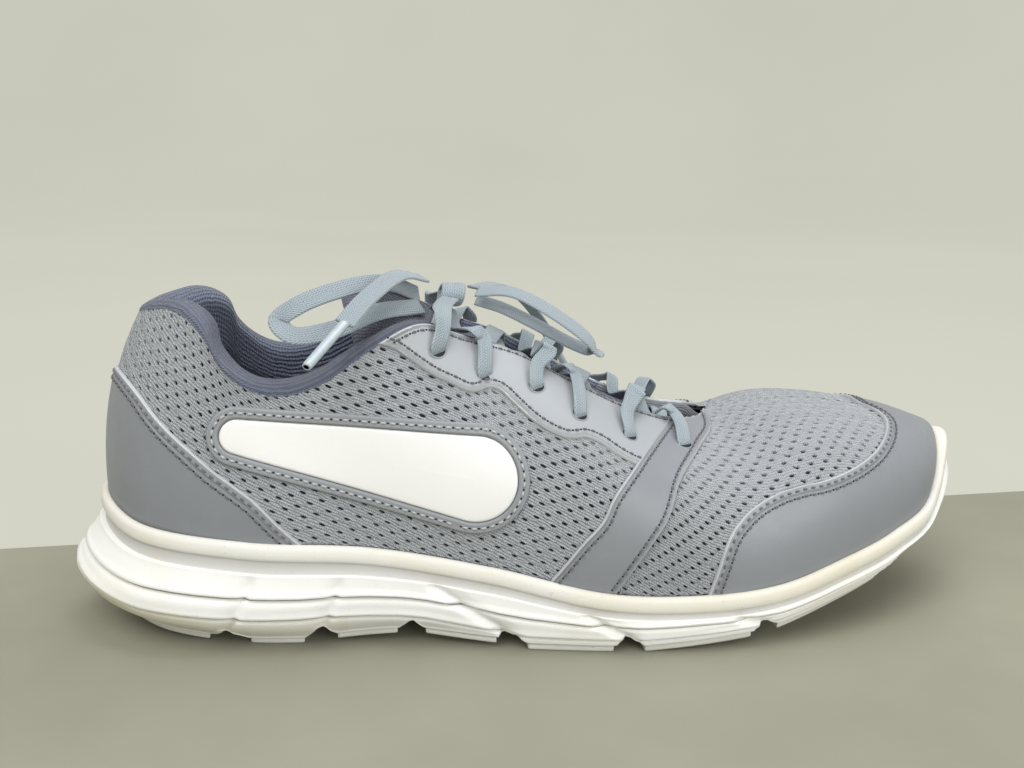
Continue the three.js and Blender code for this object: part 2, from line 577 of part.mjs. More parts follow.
const END_MEDIAL = [[-23, 6, 103.6], [-14, 15, 103.5], [-4, 24, 97], [4, 32, 88], [9, 37, 80]];
function aglet(points, length) {
  const [b, a] = points.slice(-2).map((p) => V(...p));
  const dir = a.clone().sub(b).normalize();
  const g = new THREE.CylinderGeometry(1.6, 1.6, length, 8);
  g.applyQuaternion(new THREE.Quaternion().setFromUnitVectors(V(0, 1, 0), dir));
  const c = a.addScaledVector(dir, length / 2 + GAP);
  return fromThree(g.translate(c.x, c.y, c.z));
}

// ---- the assembly -------------------------------------------------------------------------
const root = new THREE.Group();
function add(name, solid, color, roughness = 0.8) {
  const m = solid.getMesh();
  const g = new THREE.BufferGeometry();
  g.setAttribute("position", new THREE.BufferAttribute(new Float32Array(m.vertProperties), 3));
  g.setIndex(new THREE.BufferAttribute(new Uint32Array(m.triVerts), 1));
  g.computeVertexNormals();
  const mesh = new THREE.Mesh(g, new THREE.MeshStandardMaterial({ color, roughness }));
  mesh.name = name;
  root.add(mesh);
}
const GREY = 0x8b929c;
const KNIT = 0xa3aab2;
const SLATE = 0x565c6e;
const WHITE = 0xeceae4;
const LACE = 0xa7b0ba;

add("midsole", midsole(), WHITE, 0.7);
pads().forEach((pad, i) => add(`outsole_pad_${i + 1}`, pad, 0xdcdad4, 0.85));
add("strobel_board", board(-MESH - GAP, (x) => footbed(x) + 0.5, (x) => footbed(x) + 1.9), 0xd8d4c8);
const INSOLE_IN = -(LINING_AT + LINING + 0.5);
add("insole_foam", board(INSOLE_IN, (x) => footbed(x) + 2.2, (x) => footbed(x) + 2.2 + FOAM_INSOLE), 0x3c4048);
const clothAt = 2.2 + FOAM_INSOLE + GAP;
add("insole_topcloth", board(INSOLE_IN, (x) => footbed(x) + clothAt, (x) => footbed(x) + clothAt + CLOTH), SLATE);

const mesh = layer(RING, 0, -MESH);
add("quarter_mesh", biggest(punch(mesh.intersect(behind))), KNIT);
add("vamp_mesh", biggest(mesh.intersect(ahead)), KNIT);
const lining = shell(RING.map(liningColumn));
add("collar_lining", biggest(punch(lining.intersect(behind))), SLATE);
add("vamp_lining", biggest(lining.intersect(ahead)), 0xb9bdc2);
add("collar_foam", collarFoam(), 0xd9d2a8);
const stiff = [-MESH - GAP, -MESH - GAP - STIFFENER];
const low = ROWS.slice(0, 4);
add("heel_counter", layer(range(2 * LAST - 3, 2 * LAST + 3), ...stiff, { rows: low, cup: 2.2, ring: false }), 0xc9c2b4);
const front = ROWS.slice(0, 5);
add("toe_puff", layer(range(19, 25), ...stiff, { rows: front, cup: 2.2, ring: false }), 0xc9c2b4);

add("heel_overlay", biggest(overlays.intersect(heelPrism)), GREY, 0.55);
add("toe_cap", biggest(overlays.intersect(toePrism)), GREY, 0.55);
for (const [side, [y0, y1]] of Object.entries(SIDES)) {
  const cut = (outline) => biggest(punch(overlays.intersect(prism(outline, y0, y1))));
  add(`eyestay_${side}`, cut(eyeOutline), 0x9aa1aa, 0.55);
  add(`forefoot_band_${side}`, cut(bandOutline), GREY, 0.55);
  const ring = prism(plainOutline(2.9), y0, y1).subtract(prism(plainOutline(GAP), y0, y1));
  add(`side_border_${side}`, biggest(overlays.intersect(ring)), GREY, 0.6);
  add(`side_panel_${side}`, biggest(overlays.intersect(prism(plainOutline(0), y0, y1))), WHITE, 0.5);
}

const [cover, foam, back] = TONGUE;
add("tongue_cover", tongueLayer(0, cover), SLATE);
add("tongue_foam", tongueLayer(cover + GAP, cover + GAP + foam), 0xd9d2a8);
add("tongue_lining", tongueLayer(cover + foam + 2 * GAP, cover + foam + back + 2 * GAP), SLATE);

for (const [name, solid] of Object.entries(laceStraps())) add(name, solid, LACE);
add("lace_riser_lateral", riser("lateral"), LACE);
add("lace_riser_medial", riser("medial"), LACE);
add("lace_knot", knot(), LACE);
add("lace_loop_rear", freeRibbon(LOOP_REAR, [0.1, -0.75, 0.65], 24), LACE);
add("lace_loop_front", freeRibbon(LOOP_FRONT, [0.2, -0.5, 0.85], 24), LACE);
add("lace_end_lateral", freeRibbon(END_LATERAL, [0.1, -0.5, 0.85], 10), LACE);
add("lace_end_medial", freeRibbon(END_MEDIAL, [0.4, 0.3, 0.85], 12), LACE);
add("aglet_lateral", aglet(END_LATERAL, 20), 0xc5d3e2, 0.3);
add("aglet_medial", aglet(END_MEDIAL, 20), 0xc5d3e2, 0.3);

export default root;
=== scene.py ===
"""Running shoe, right foot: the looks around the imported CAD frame. Lengths in this file are millimetres
unless a name ends in _M; everything handed to Blender is metres."""
import math

import bpy
import numpy as np
from mathutils import Matrix, Vector


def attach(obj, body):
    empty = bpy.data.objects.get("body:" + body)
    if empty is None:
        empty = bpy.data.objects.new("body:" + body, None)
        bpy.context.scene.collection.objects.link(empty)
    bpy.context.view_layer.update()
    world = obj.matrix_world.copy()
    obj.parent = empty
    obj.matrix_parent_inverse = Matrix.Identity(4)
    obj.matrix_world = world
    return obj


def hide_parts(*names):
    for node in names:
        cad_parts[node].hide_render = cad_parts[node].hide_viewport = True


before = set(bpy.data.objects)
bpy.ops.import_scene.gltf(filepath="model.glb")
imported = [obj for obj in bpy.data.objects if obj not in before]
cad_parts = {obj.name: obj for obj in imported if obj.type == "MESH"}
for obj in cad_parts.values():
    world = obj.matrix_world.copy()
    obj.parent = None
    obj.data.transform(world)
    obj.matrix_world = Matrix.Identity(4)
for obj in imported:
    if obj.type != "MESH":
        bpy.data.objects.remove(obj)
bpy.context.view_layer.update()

MM = 0.001

# ---- the shoe's driving rows, as in the CAD source ------------------------------------------------
GAP = 0.3
MESH = 1.6
STIFFENER = 1.3
LINING = 1.0
LINING_AT = MESH + 2 * GAP + STIFFENER
PAD = 2.2
LACE_WIDE = 6.0
LACE_THICK = 1.1
LAST = 22
RIDGE = 15

# station, x, y outer side, y inner side, z: the line where the upper meets the midsole rim
FEATHER = [
    [0, -137.5, 0, 0, 42.5], [2, -124, -24.5, 24.5, 37.6], [4, -93, -35.4, 34.2, 34.8],
    [6, -57, -36.8, 32.2, 32.4], [8, -22, -41.3, 33.2, 26.8], [10, 12, -46.8, 40.6, 19.4],
    [12, 41, -48.6, 46.4, 18.2], [14, 66, -46.2, 48.3, 19.6], [16, 88, -41, 46.4, 25],
    [18, 108.5, -33, 41, 30.4], [20, 127.5, -19.8, 31.5, 37.3], [21, 136, -7, 22, 43.4],
    [22, 142, 9, 9, 50.5],
]
# the same columns for the collar, the throat edge and, from RIDGE on, the top of the vamp
TOPLINE = [
    [0, -126, 0, 0, 97.5], [1, -121.5, -9.5, 9.5, 99.3], [2, -113, -18.5, 18.5, 100.2],
    [3, -105, -26, 26, 95], [4, -97.5, -30.5, 30.5, 83.5], [5, -86, -32.5, 32.5, 77.8],
    [6, -72, -32.5, 32.5, 80.5], [7, -57, -30, 30.5, 90.5], [8, -43, -24.5, 25.5, 96.6],
    [9, -30, -18, 19, 92], [10, -14, -15.5, 17, 87], [11, 4, -14.5, 16, 77.5],
    [12, 22, -13.5, 15.5, 68.6], [13, 38, -12, 14.5, 63.2], [14, 50, -7.5, 11, 62.2],
    [15, 57.5, 2, 2, 63.8], [16, 70, 3, 3, 65.6], [17, 84, 3.8, 3.8, 66], [18, 98, 4.5, 4.5, 65.2],
    [19, 111.5, 5.5, 5.5, 62.9], [20, 122, 6.3, 6.3, 60.9], [21, 130, 7.3, 7.3, 58.4],
    [22, 136.5, 8.3, 8.3, 55.9],
]
# station, outward lean at the rim (degrees), slope at the top (degrees), fullness low and high
RIB = [
    [0, 2, 62, 0.42, 0.3], [2, 4, 66, 0.42, 0.3], [4, 7, 80, 0.4, 0.3], [6, 8, 74, 0.4, 0.3],
    [8, 8, 56, 0.42, 0.32], [10, 8, 36, 0.5, 0.34], [12, 7, 30, 0.52, 0.36], [14, 6, 14, 0.55, 0.42],
    [15.2, 6, 3, 0.55, 0.48], [18, 6, 0, 0.55, 0.5], [22, 10, 0, 0.5, 0.45],
]
# station, bottom edge offset, widest offset, widest height: the midsole's side, from the rim line
SIDE = [
    [0, -2, 12.5, 19.5], [2, -3.5, 9.5, 17], [4, -4, 6.5, 15], [6, -2.5, 4.5, 15], [8, 0.5, 4, 13],
    [10, 1, 4, 9], [12, 1, 4, 9], [14, 0.8, 4, 11], [16, -0.8, 3.8, 17], [18, -2, 3.5, 23],
    [20, -2.2, 3.8, 31], [22, -3, 7.4, 41],
]
# x from, x to, z from, z to of the rubber pads' undersides, and x, z of the groove after each
PADS = [
    [-132, -106, 2.6, 0.5, -99.8, 6.6], [-93.5, -77.5, 0, 0, -72.2, 7.8],
    [-67.5, -49.5, 1.2, 3.2, -45.2, 9.6], [-41, -20, 3.6, 1.6, -17, 6],
    [-10.5, 15, 0, 0, 18.8, 5.4], [24.5, 58, 0, 2.8, 61.6, 8.8],
    [67, 105.5, 4.4, 13.2, 108.4, 20.4], [113, 137, 17, 26.2, 0, 0],
]
# x, z of the floor of the midsole cup
FOOTBED = [
    [-150, 27.5], [-60, 26.5], [-10, 20], [25, 13], [60, 13.5], [85, 19], [110, 27], [134, 35.5], [150, 41],
]
# station, height on the rib, station where a lace from it crosses the throat edge
EYELETS = [
    [8.11, 0.874, 8.43], [8.94, 0.798, 9.42], [9.87, 0.782, 10.36], [10.42, 0.689, 11.05],
    [11.41, 0.697, 11.94], [12.73, 0.765, 13.15],
]
COLLAR_FOAM = [[0, 5.5], [5, 5.5], [6, 4.8], [7, 3.2], [8, 1], [9, 0]]
# station, x and z of the tongue's middle, height on the rib where its edge lies
TONGUE_ROWS = [
    [6.8, -66, 103, 0.97], [7.4, -56, 105.2, 0.88], [8, -45.5, 102.5, 0.8], [9, -33, 93.5, 0.72],
    [10, -16, 86.5, 0.7], [11, 2, 77.5, 0.7], [12, 20.5, 69, 0.7], [13, 37, 62.5, 0.66],
    [14, 50, 59, 0.66], [15, 58.5, 56, 0.72], [15.8, 67.5, 57, 0.8],
]
TONGUE_COVER, TONGUE_FOAM, TONGUE_LINING = 0.9, 2.8, 0.8


# ---- curves ----------------------------------------------------------------------------------------
def unit(v):
    return v / np.maximum(np.linalg.norm(v, axis=-1, keepdims=True), 1e-12)


def wrap(q):
    return np.mod(q, 2 * LAST)


def fold(q):
    q = wrap(q)
    return np.minimum(q, 2 * LAST - q)


def read(table, x):
    """Straight-line reading of a table of rows [key, value]."""
    keys, values = zip(*table)
    return np.interp(x, keys, values)


def spline(rows):
    """Cubic through keyed rows of numbers."""
    rows = np.array(rows, float)
    key, val = rows[:, 0], rows[:, 1:]
    h = np.diff(key)[:, None]
    rise = np.diff(val, axis=0) / h
    slope = np.zeros_like(val)
    slope[1:-1] = (h[1:] * rise[:-1] + h[:-1] * rise[1:]) / (h[1:] + h[:-1])

    def at(q):
        q = np.asarray(q, float)
        i = np.clip(np.searchsorted(key, q, side="right") - 1, 0, len(key) - 2)
        w = np.clip((q - key[i]) / h[i, 0], 0, 1)[..., None]
        a, b = 2 * w**3 - 3 * w**2 + 1, (w**3 - 2 * w**2 + w) * h[i]
        c, d = 3 * w**2 - 2 * w**3, (w**3 - w**2) * h[i]
        return a * val[i] + b * slope[i] + c * val[i + 1] + d * slope[i + 1]

    return at


def loop(rows):
    """Closed curve round the shoe: stations 0..22 along the outer side, 22..44 back along the inner."""
    outer = [[k, x, y, z] for k, x, y, _, z in rows]
    inner = [[2 * LAST - k, x, y, z] for k, x, _, y, z in rows[-2:0:-1]]
    ring = outer + inner
    before = [[k - 2 * LAST, *p] for k, *p in ring[-3:]]
    after = [[k + 2 * LAST, *p] for k, *p in ring[:3]]
    f = spline(before + ring + after)
    return lambda q: f(wrap(q))


feather_loop = loop(FEATHER)
topline_loop = loop(TOPLINE)
rib_at = spline(RIB)
side_at = spline(SIDE)


def feather(q):
    p = feather_loop(q)
    arch = np.where(wrap(q) > LAST, 4 * np.exp(-(((fold(q) - 6.5) / 2.6) ** 2)), 0)
    p[..., 2] += arch
    return p


def topline(q):
    p = topline_loop(q)
    both = 0.5 * (p + topline_loop(2 * LAST - wrap(q)))
    return np.where((fold(q) >= RIDGE - 1e-9)[..., None], both, p)


def outward(q):
    t = feather(q + 0.02) - feather(q - 0.02)
    return unit(np.stack([t[..., 1], -t[..., 0], 0 * t[..., 0]], -1))


def skin(q, t):
    """Outer face of the mesh; t runs 0 at the rim line to 1 at the topline."""
    q, t = np.broadcast_arrays(np.asarray(q, float), np.asarray(t, float))
    low_end, top_end = feather(q), topline(q)
    lean, slope, low, high = np.moveaxis(rib_at(fold(q)), -1, 0)[..., None]
    span = top_end - low_end
    d = np.linalg.norm(span, axis=-1, keepdims=True)
    inward = unit(span * [1, 1, 0])
    up = np.array([0, 0, 1.0])
    a, b = np.radians(lean), np.radians(slope)
    start = outward(q) * np.sin(a) + up * np.cos(a)
    end = inward * np.cos(b) + up * np.sin(b)
    c1, c2 = low_end + start * low * d, top_end - end * high * d
    t = t[..., None]
    return (
        (1 - t) ** 3 * low_end + 3 * (1 - t) ** 2 * t * c1 + 3 * (1 - t) * t**2 * c2 + t**3 * top_end
    )


def facing(q, t):
    along = skin(q + 0.04, t) - skin(q - 0.04, t)
    u = np.minimum(t, 0.998)
    rise = skin(q, u + 0.002) - skin(q, u - 0.002)
    return unit(np.cross(along, rise))


def normal(q, t):
    q, t = np.broadcast_arrays(np.asarray(q, float), np.asarray(t, float))
    k = fold(q)
    both = unit(facing(k, t) + facing(2 * LAST - k, t))
    ridge = (k >= RIDGE - 1e-9) & (t >= 0.999)
    return np.where(ridge[..., None], both, facing(q, t))


def off(q, t, d):
    """Point d outside the mesh's outer face."""
    d = np.asarray(d, float)
    return skin(q, t) + normal(q, t) * d[..., None]


def footbed(x):
    return read(FOOTBED, x)


def rim_point(q, d, z):
    """Point d outside the rim line, at height z."""
    p = feather(q) + outward(q) * np.asarray(d, float)[..., None]
    p[..., 2] = z(p[..., 0]) if callable(z) else z
    return p


def foam_at(q):
    return read(COLLAR_FOAM, fold(q))


def padding(q, t):
    return LINING_AT + foam_at(q) * np.clip((t - 0.5) / 0.28, 0, 1) ** 1.5


def travelled(points, axis=0):
    """Distance from the first point of each line of points, along the line."""
    steps = np.linalg.norm(np.diff(points, axis=axis), axis=-1)
    return np.cumsum(np.insert(steps, 0, 0, axis=axis), axis=axis)


def polyline(points, count=None, step=None, metric=None):
    """Smooth curve through the given points, resampled evenly by its length on the shoe or its own."""
    points = np.array(points, float)
    fine = catmull(points, np.linspace(0, 1, 40 * len(points)))
    world = metric(fine) if metric else fine
    s = travelled(world)
    count = count or int(s[-1] / step) + 2
    want = np.linspace(0, s[-1], count)
    return np.stack([np.interp(want, s, fine[:, c]) for c in range(fine.shape[1])], -1)


def catmull(points, u):
    """Centripetal Catmull-Rom through points at u in 0..1, each span an equal share of u."""
    points = np.asarray(points, float)
    n = len(points)
    ends = np.concatenate([[2 * points[0] - points[1]], points, [2 * points[-1] - points[-2]]])
    p = np.clip(np.asarray(u, float), 0, 1) * (n - 1)
    i = np.minimum(p.astype(int), n - 2)
    w = (p - i)[:, None]
    p0, p1, p2, p3 = (ends[i + c] for c in range(4))
    gap = lambda a, b: np.sum((b - a) ** 2, axis=1, keepdims=True) ** 0.25
    d1 = gap(p1, p2)
    d1 = np.where(d1 < 1e-4, 1, d1)
    d0, d2 = gap(p0, p1), gap(p2, p3)
    d0, d2 = np.where(d0 < 1e-4, d1, d0), np.where(d2 < 1e-4, d1, d2)
    m1 = ((p1 - p0) / d0 - (p2 - p0) / (d0 + d1) + (p2 - p1) / d1) * d1
    m2 = ((p2 - p1) / d1 - (p3 - p1) / (d1 + d2) + (p3 - p2) / d2) * d1
    return (
        (2 * w**3 - 3 * w**2 + 1) * p1 + (w**3 - 2 * w**2 + w) * m1
        + (3 * w**2 - 2 * w**3) * p2 + (w**3 - w**2) * m2
    )


def smooth_step(x, a, b):
    w = np.clip((x - a) / (b - a), 0, 1)
    return w * w * (3 - 2 * w)


# ---- meshes ----------------------------------------------------------------------------------------
def make(name, verts, faces, mats, body="shoe", nodes=(), parts=None, cloth=None, smooth=True):
    """A piece from vertices in millimetres. parts gives each face its material's number; cloth gives each
    vertex its place on the flat material, in millimetres, for the weave."""
    me = bpy.data.meshes.new(name)
    me.from_pydata((np.asarray(verts) * MM).tolist(), [], [list(map(int, f)) for f in faces])
    for m in mats if isinstance(mats, (list, tuple)) else [mats]:
        me.materials.append(m)
    if parts is not None:
        me.polygons.foreach_set("material_index", np.asarray(parts, np.int32))
    if cloth is not None:
        flat = np.zeros((len(verts), 3), np.float32)
        flat[:, : cloth.shape[-1]] = cloth
        attribute = me.attributes.new("cloth", "FLOAT_VECTOR", "POINT")
        attribute.data.foreach_set("vector", flat.ravel())
    me.polygons.foreach_set("use_smooth", np.full(len(me.polygons), smooth))
    me.validate()
    me.update()
    piece = bpy.data.objects.new(name, me)
    bpy.context.scene.collection.objects.link(piece)
    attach(piece, body)
    if nodes:
        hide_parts(*nodes)
    return piece


def grid_faces(m, n, start=0, close=False, flip=False):
    """Quads of an m by n grid, facing out when rows run to the toe and columns up the outer side."""
    i, j = np.meshgrid(np.arange(m if close else m - 1), np.arange(n - 1), indexing="ij")
    i2 = (i + 1) % m
    f = np.stack([i * n + j, i2 * n + j, i2 * n + j + 1, i * n + j + 1], -1).reshape(-1, 4) + start
    return f[:, ::-1] if flip else f


def slab(outer, inner, close=False):
    """Closed sheet between two grids of points."""
    m, n = outer.shape[:2]
    verts = np.concatenate([outer.reshape(-1, 3), inner.reshape(-1, 3)])
    faces = [grid_faces(m, n, 0, close), grid_faces(m, n, m * n, close, flip=True)]
    at = lambda i, j: i * n + j
    for j, turn in ((0, False), (n - 1, True)):
        i = np.arange(m if close else m - 1)
        i2 = (i + 1) % m
        f = np.stack([at(i2, j), at(i, j), at(i, j) + m * n, at(i2, j) + m * n], -1)
        faces.append(f[:, ::-1] if turn else f)
    if not close:
        for i, turn in ((0, True), (m - 1, False)):
            j = np.arange(n - 1)
            f = np.stack([at(i, j + 1), at(i, j), at(i, j) + m * n, at(i, j + 1) + m * n], -1)
            faces.append(f[:, ::-1] if turn else f)
    return verts, np.concatenate(faces)


def weld(verts, faces, tolerance=1e-3):
    """Merges vertices closer than the tolerance and drops faces that collapse. Gives the vertices and the
    faces that stay, and the faces in their new numbers."""
    key = np.round(verts / tolerance).astype(np.int64)
    _, first, inverse = np.unique(key, axis=0, return_index=True, return_inverse=True)
    kept, source = [], []
    for number, f in enumerate(inverse.reshape(-1)[faces].tolist()):
        f = [v for i, v in enumerate(f) if v != f[i - 1]]
        if len(set(f)) >= 3:
            kept.append(f)
            source.append(number)
    return first, source, kept


def nearest(points, line, chunk=4000):
    """Distance from each point to a polyline's points."""
    out = np.empty(len(points))
    for i in range(0, len(points), chunk):
        d = points[i : i + chunk, None, :] - line[None]
        out[i : i + chunk] = np.sqrt((d * d).sum(-1).min(1))
    return out


# ---- materials -------------------------------------------------------------------------------------
class Nodes:
    """Short names for the shader nodes that the materials share."""

    def __init__(
        self, name, rough, colour=(0.5, 0.5, 0.5), sheen=0.0, coat=0.0, specular=0.5, sheen_rough=0.5
    ):
        self.mat = bpy.data.materials.new(name)
        self.mat.use_nodes = True
        self.tree = self.mat.node_tree
        self.shader = self.tree.nodes["Principled BSDF"]
        self.shader.inputs["Base Color"].default_value = (*colour, 1)
        self.shader.inputs["Roughness"].default_value = rough
        self.shader.inputs["Sheen Weight"].default_value = sheen
        self.shader.inputs["Sheen Roughness"].default_value = sheen_rough
        self.shader.inputs["Coat Weight"].default_value = coat
        self.shader.inputs["Coat Roughness"].default_value = 0.35
        self.shader.inputs["Specular IOR Level"].default_value = specular

    def node(self, kind, **values):
        made = self.tree.nodes.new(kind)
        for key, value in values.items():
            setattr(made, key, value)
        return made

    def link(self, a, b):
        self.tree.links.new(a, b)

    def place(self, scale=(1, 1, 1), cloth=False, turn=0.0):
        """Object coordinates, or the flat cloth's millimetres, scaled."""
        if cloth:
            source = self.node("ShaderNodeAttribute", attribute_name="cloth")
        else:
            source = self.node("ShaderNodeTexCoord")
        mapping = self.node("ShaderNodeMapping")
        mapping.inputs["Scale"].default_value = scale
        mapping.inputs["Rotation"].default_value = (0, 0, turn)
        self.link(source.outputs["Vector" if cloth else "Object"], mapping.inputs["Vector"])
        return mapping.outputs["Vector"]

    def noise(self, at, scale, detail=3.0, rough=0.5):
        tex = self.node("ShaderNodeTexNoise")
        tex.inputs["Scale"].default_value = scale
        tex.inputs["Detail"].default_value = detail
        tex.inputs["Roughness"].default_value = rough
        self.link(at, tex.inputs["Vector"])
        return tex.outputs["Fac"]

    def cells(self, at, scale, feature="F1"):
        tex = self.node("ShaderNodeTexVoronoi", feature=feature)
        tex.inputs["Scale"].default_value = scale
        self.link(at, tex.inputs["Vector"])
        return tex.outputs["Distance"]

    def wave(self, at, scale, distortion=0.0, direction="X", detail_scale=1.0):
        tex = self.node("ShaderNodeTexWave", bands_direction=direction)
        tex.inputs["Scale"].default_value = scale
        tex.inputs["Distortion"].default_value = distortion
        tex.inputs["Detail Scale"].default_value = detail_scale
        self.link(at, tex.inputs["Vector"])
        return tex.outputs["Fac"]

    def math(self, kind, a, b=None, clamp=False):
        made = self.node("ShaderNodeMath", operation=kind, use_clamp=clamp)
        for n, value in enumerate(v for v in (a, b) if v is not None):
            if isinstance(value, (int, float)):
                made.inputs[n].default_value = value
            else:
                self.link(value, made.inputs[n])
        return made.outputs[0]

    def ramp(self, value, stops):
        ramp = self.node("ShaderNodeValToRGB")
        while len(ramp.color_ramp.elements) < len(stops):
            ramp.color_ramp.elements.new(0.5)
        for element, (at, colour) in zip(ramp.color_ramp.elements, stops):
            element.position = at
            grey = isinstance(colour, (int, float))
            element.color = (colour, colour, colour, 1) if grey else (*colour, 1)
        self.link(value, ramp.inputs["Fac"])
        return ramp.outputs["Color"]

    def mix(self, share, a, b):
        made = self.node("ShaderNodeMix", data_type="RGBA")
        for socket, value in ((0, share), (6, a), (7, b)):
            if isinstance(value, (int, float)):
                made.inputs[socket].default_value = value
            elif isinstance(value, tuple):
                made.inputs[socket].default_value = (*value, 1)
            else:
                self.link(value, made.inputs[socket])
        return made.outputs[2]

    def colour(self, value):
        self.link(value, self.shader.inputs["Base Color"])

    def rough(self, value, low, high):
        spread = self.node("ShaderNodeMapRange")
        spread.inputs["To Min"].default_value = low
        spread.inputs["To Max"].default_value = high
        self.link(value, spread.inputs["Value"])
        self.link(spread.outputs["Result"], self.shader.inputs["Roughness"])

    def bump(self, *layers):
        """layers are (height, strength, distance in millimetres)."""
        last = None
        for height, strength, distance in layers:
            made = self.node("ShaderNodeBump")
            made.inputs["Strength"].default_value = strength
            made.inputs["Distance"].default_value = distance * MM
            self.link(height, made.inputs["Height"])
            if last:
                self.link(last, made.inputs["Normal"])
            last = made.outputs["Normal"]
        self.link(last, self.shader.inputs["Normal"])


def scaled(colour, factor):
    return tuple(c * factor for c in colour)


def knit_material(name, colour, low=0.82, high=1.12, rough=0.85, pitch=1.0):
    """Fine warp knit: wavy wales with short floats across them. Its colour follows their height: painted
    shade in the hollows and painted light on the ridges.
    """
    n = Nodes(name, rough, sheen=0.25, specular=0.25)
    flat = n.place((1, 1, 1), cloth=True)
    wales = n.wave(flat, 0.34 / pitch, distortion=3.2, direction="Y", detail_scale=1.4)
    floats = n.wave(flat, 0.5 / pitch, distortion=2.2, direction="X", detail_scale=1.8)
    fibres = n.noise(n.place((1, 1, 1)), 2600, 2)
    height = n.math("ADD", n.math("MULTIPLY", wales, 0.6), n.math("MULTIPLY", floats, 0.45))
    broad = n.noise(n.place((1, 1, 1)), 18, 3)
    # darker where the knit is low and lighter where it is high: painted shade and light
    tone = n.mix(n.math("MULTIPLY", height, 0.8), scaled(colour, low), scaled(colour, high))
    n.colour(n.mix(n.math("MULTIPLY", broad, 0.25), tone, scaled(colour, 0.86)))
    n.rough(fibres, rough - 0.1, min(1, rough + 0.08))
    n.bump((height, 1.0, 0.5), (fibres, 0.25, 0.1))
    return n.mat


def coated_material(name, colour, rough=0.42, wear=0.12, pores=0.18, coat=0.0):
    """Smooth polyurethane film on a textile: faint pores, broad mottling and rubbed, duller patches."""
    n = Nodes(name, rough, specular=0.45, coat=coat)
    at = n.place()
    broad = n.noise(at, 22, 4, 0.55)
    fine = n.noise(at, 420, 3, 0.6)
    grain = n.cells(at, 2300)
    rubbed = n.ramp(n.noise(at, 60, 6, 0.7), [(0.52, 0.0), (0.78, 1.0)])
    tone = n.mix(broad, scaled(colour, 0.9), scaled(colour, 1.1))
    tone = n.mix(n.math("MULTIPLY", rubbed, wear), tone, scaled(colour, 1.45))
    n.colour(tone)
    n.rough(fine, rough - 0.06, rough + 0.1)
    n.bump((broad, 0.12, 0.8), (fine, 0.12, 0.12), (grain, pores, 0.05))
    return n.mat


def foam_material(name, colour, stain, rough=0.62, stain_low=0.5, stipple=0.35, dirt=0.3):
    """Moulded foam: fine stipple, yellowed patches and specks of dirt."""
    n = Nodes(name, rough, specular=0.35)
    at = n.place()
    aged = n.ramp(n.noise(at, 16, 5, 0.6), [(stain_low, 0.0), (stain_low + 0.3, 1.0)])
    specks = n.ramp(n.noise(at, 520, 2, 0.5), [(0.68, 0.0), (0.8, 1.0)])
    fine = n.noise(at, 1500, 2, 0.6)
    smear = n.noise(n.place((1, 1, 3)), 45, 5, 0.7)
    tone = n.mix(aged, colour, stain)
    tone = n.mix(n.math("MULTIPLY", specks, dirt), tone, scaled(stain, 0.55))
    n.colour(n.mix(n.math("MULTIPLY", smear, 0.12), tone, scaled(colour, 0.8)))
    n.rough(fine, rough - 0.08, rough + 0.14)
    n.bump((smear, 0.1, 0.5), (fine, stipple, 0.12))
    return n.mat


def thread_material(name, colour):
    """Twisted sewing thread; its colour follows the twist's height: painted shade in the grooves and painted
    light on the plies.
    """
    n = Nodes(name, 0.7, sheen=0.2, specular=0.3)
    twist = n.wave(n.place(), 900, 2.0, "DIAGONAL")
    # darker in the twist's grooves and lighter on the plies: painted shade and light
    n.colour(n.mix(twist, scaled(colour, 0.7), scaled(colour, 1.25)))
    n.bump((twist, 0.5, 0.1))
    return n.mat


def lace_material(name, colour):
    """Flat tubular braid: slanting picks that meet in points along the middle. Its colour follows the weave's
    height: painted shade between the picks and painted light on them.
    """
    n = Nodes(name, 0.8, sheen=0.3, specular=0.3)
    source = n.node("ShaderNodeAttribute", attribute_name="cloth")
    split = n.node("ShaderNodeSeparateXYZ")
    n.link(source.outputs["Vector"], split.inputs[0])
    along, across = split.outputs[0], split.outputs[1]
    lean = n.math("ABSOLUTE", across)
    picks = n.math("SINE", n.math("MULTIPLY", n.math("ADD", along, n.math("MULTIPLY", lean, 1.1)), 6.6))
    ends = n.math("COSINE", n.math("MULTIPLY", across, 8.4))
    weave = n.math("MULTIPLY", n.math("ADD", picks, n.math("MULTIPLY", ends, 0.7)), 0.5)
    height = n.math("ADD", n.math("MULTIPLY", weave, 0.5), 0.5)
    fibres = n.noise(n.place(), 1900, 3)
    # darker where the weave is low and lighter where it is high: painted shade and light
    tone = n.mix(n.math("MULTIPLY", height, 1.0, clamp=True), scaled(colour, 0.66), scaled(colour, 1.22))
    n.colour(n.mix(n.math("MULTIPLY", n.noise(n.place(), 60, 3), 0.3), tone, scaled(colour, 0.85)))
    n.rough(fibres, 0.7, 0.92)
    n.bump((height, 0.9, 0.32), (fibres, 0.3, 0.08))
    return n.mat


def plain_material(name, colour, rough, grain=900, depth=0.15, specular=0.4, **more):
    """Matte sheet with a fine grain, for foams, boards and the near-black sheets and discs of painted shade
    in holes.
    """
    n = Nodes(name, rough, specular=specular, **more)
    at = n.place()
    fine = n.noise(at, grain, 4, 0.6)
    n.colour(n.mix(fine, scaled(colour, 0.8), scaled(colour, 1.2)))
    n.rough(fine, max(0.05, rough - 0.08), min(1, rough + 0.08))
    n.bump((fine, 0.4, depth))
    return n.mat


def aglet_material(name):
    n = Nodes(name, 0.22, (0.62, 0.72, 0.78), coat=0.6, specular=0.6)
    at = n.place()
    haze = n.noise(at, 260, 3)
    n.colour(n.mix(haze, (0.30, 0.37, 0.43), (0.46, 0.51, 0.54)))
    n.rough(haze, 0.16, 0.34)
    n.bump((haze, 0.15, 0.2))
    return n.mat


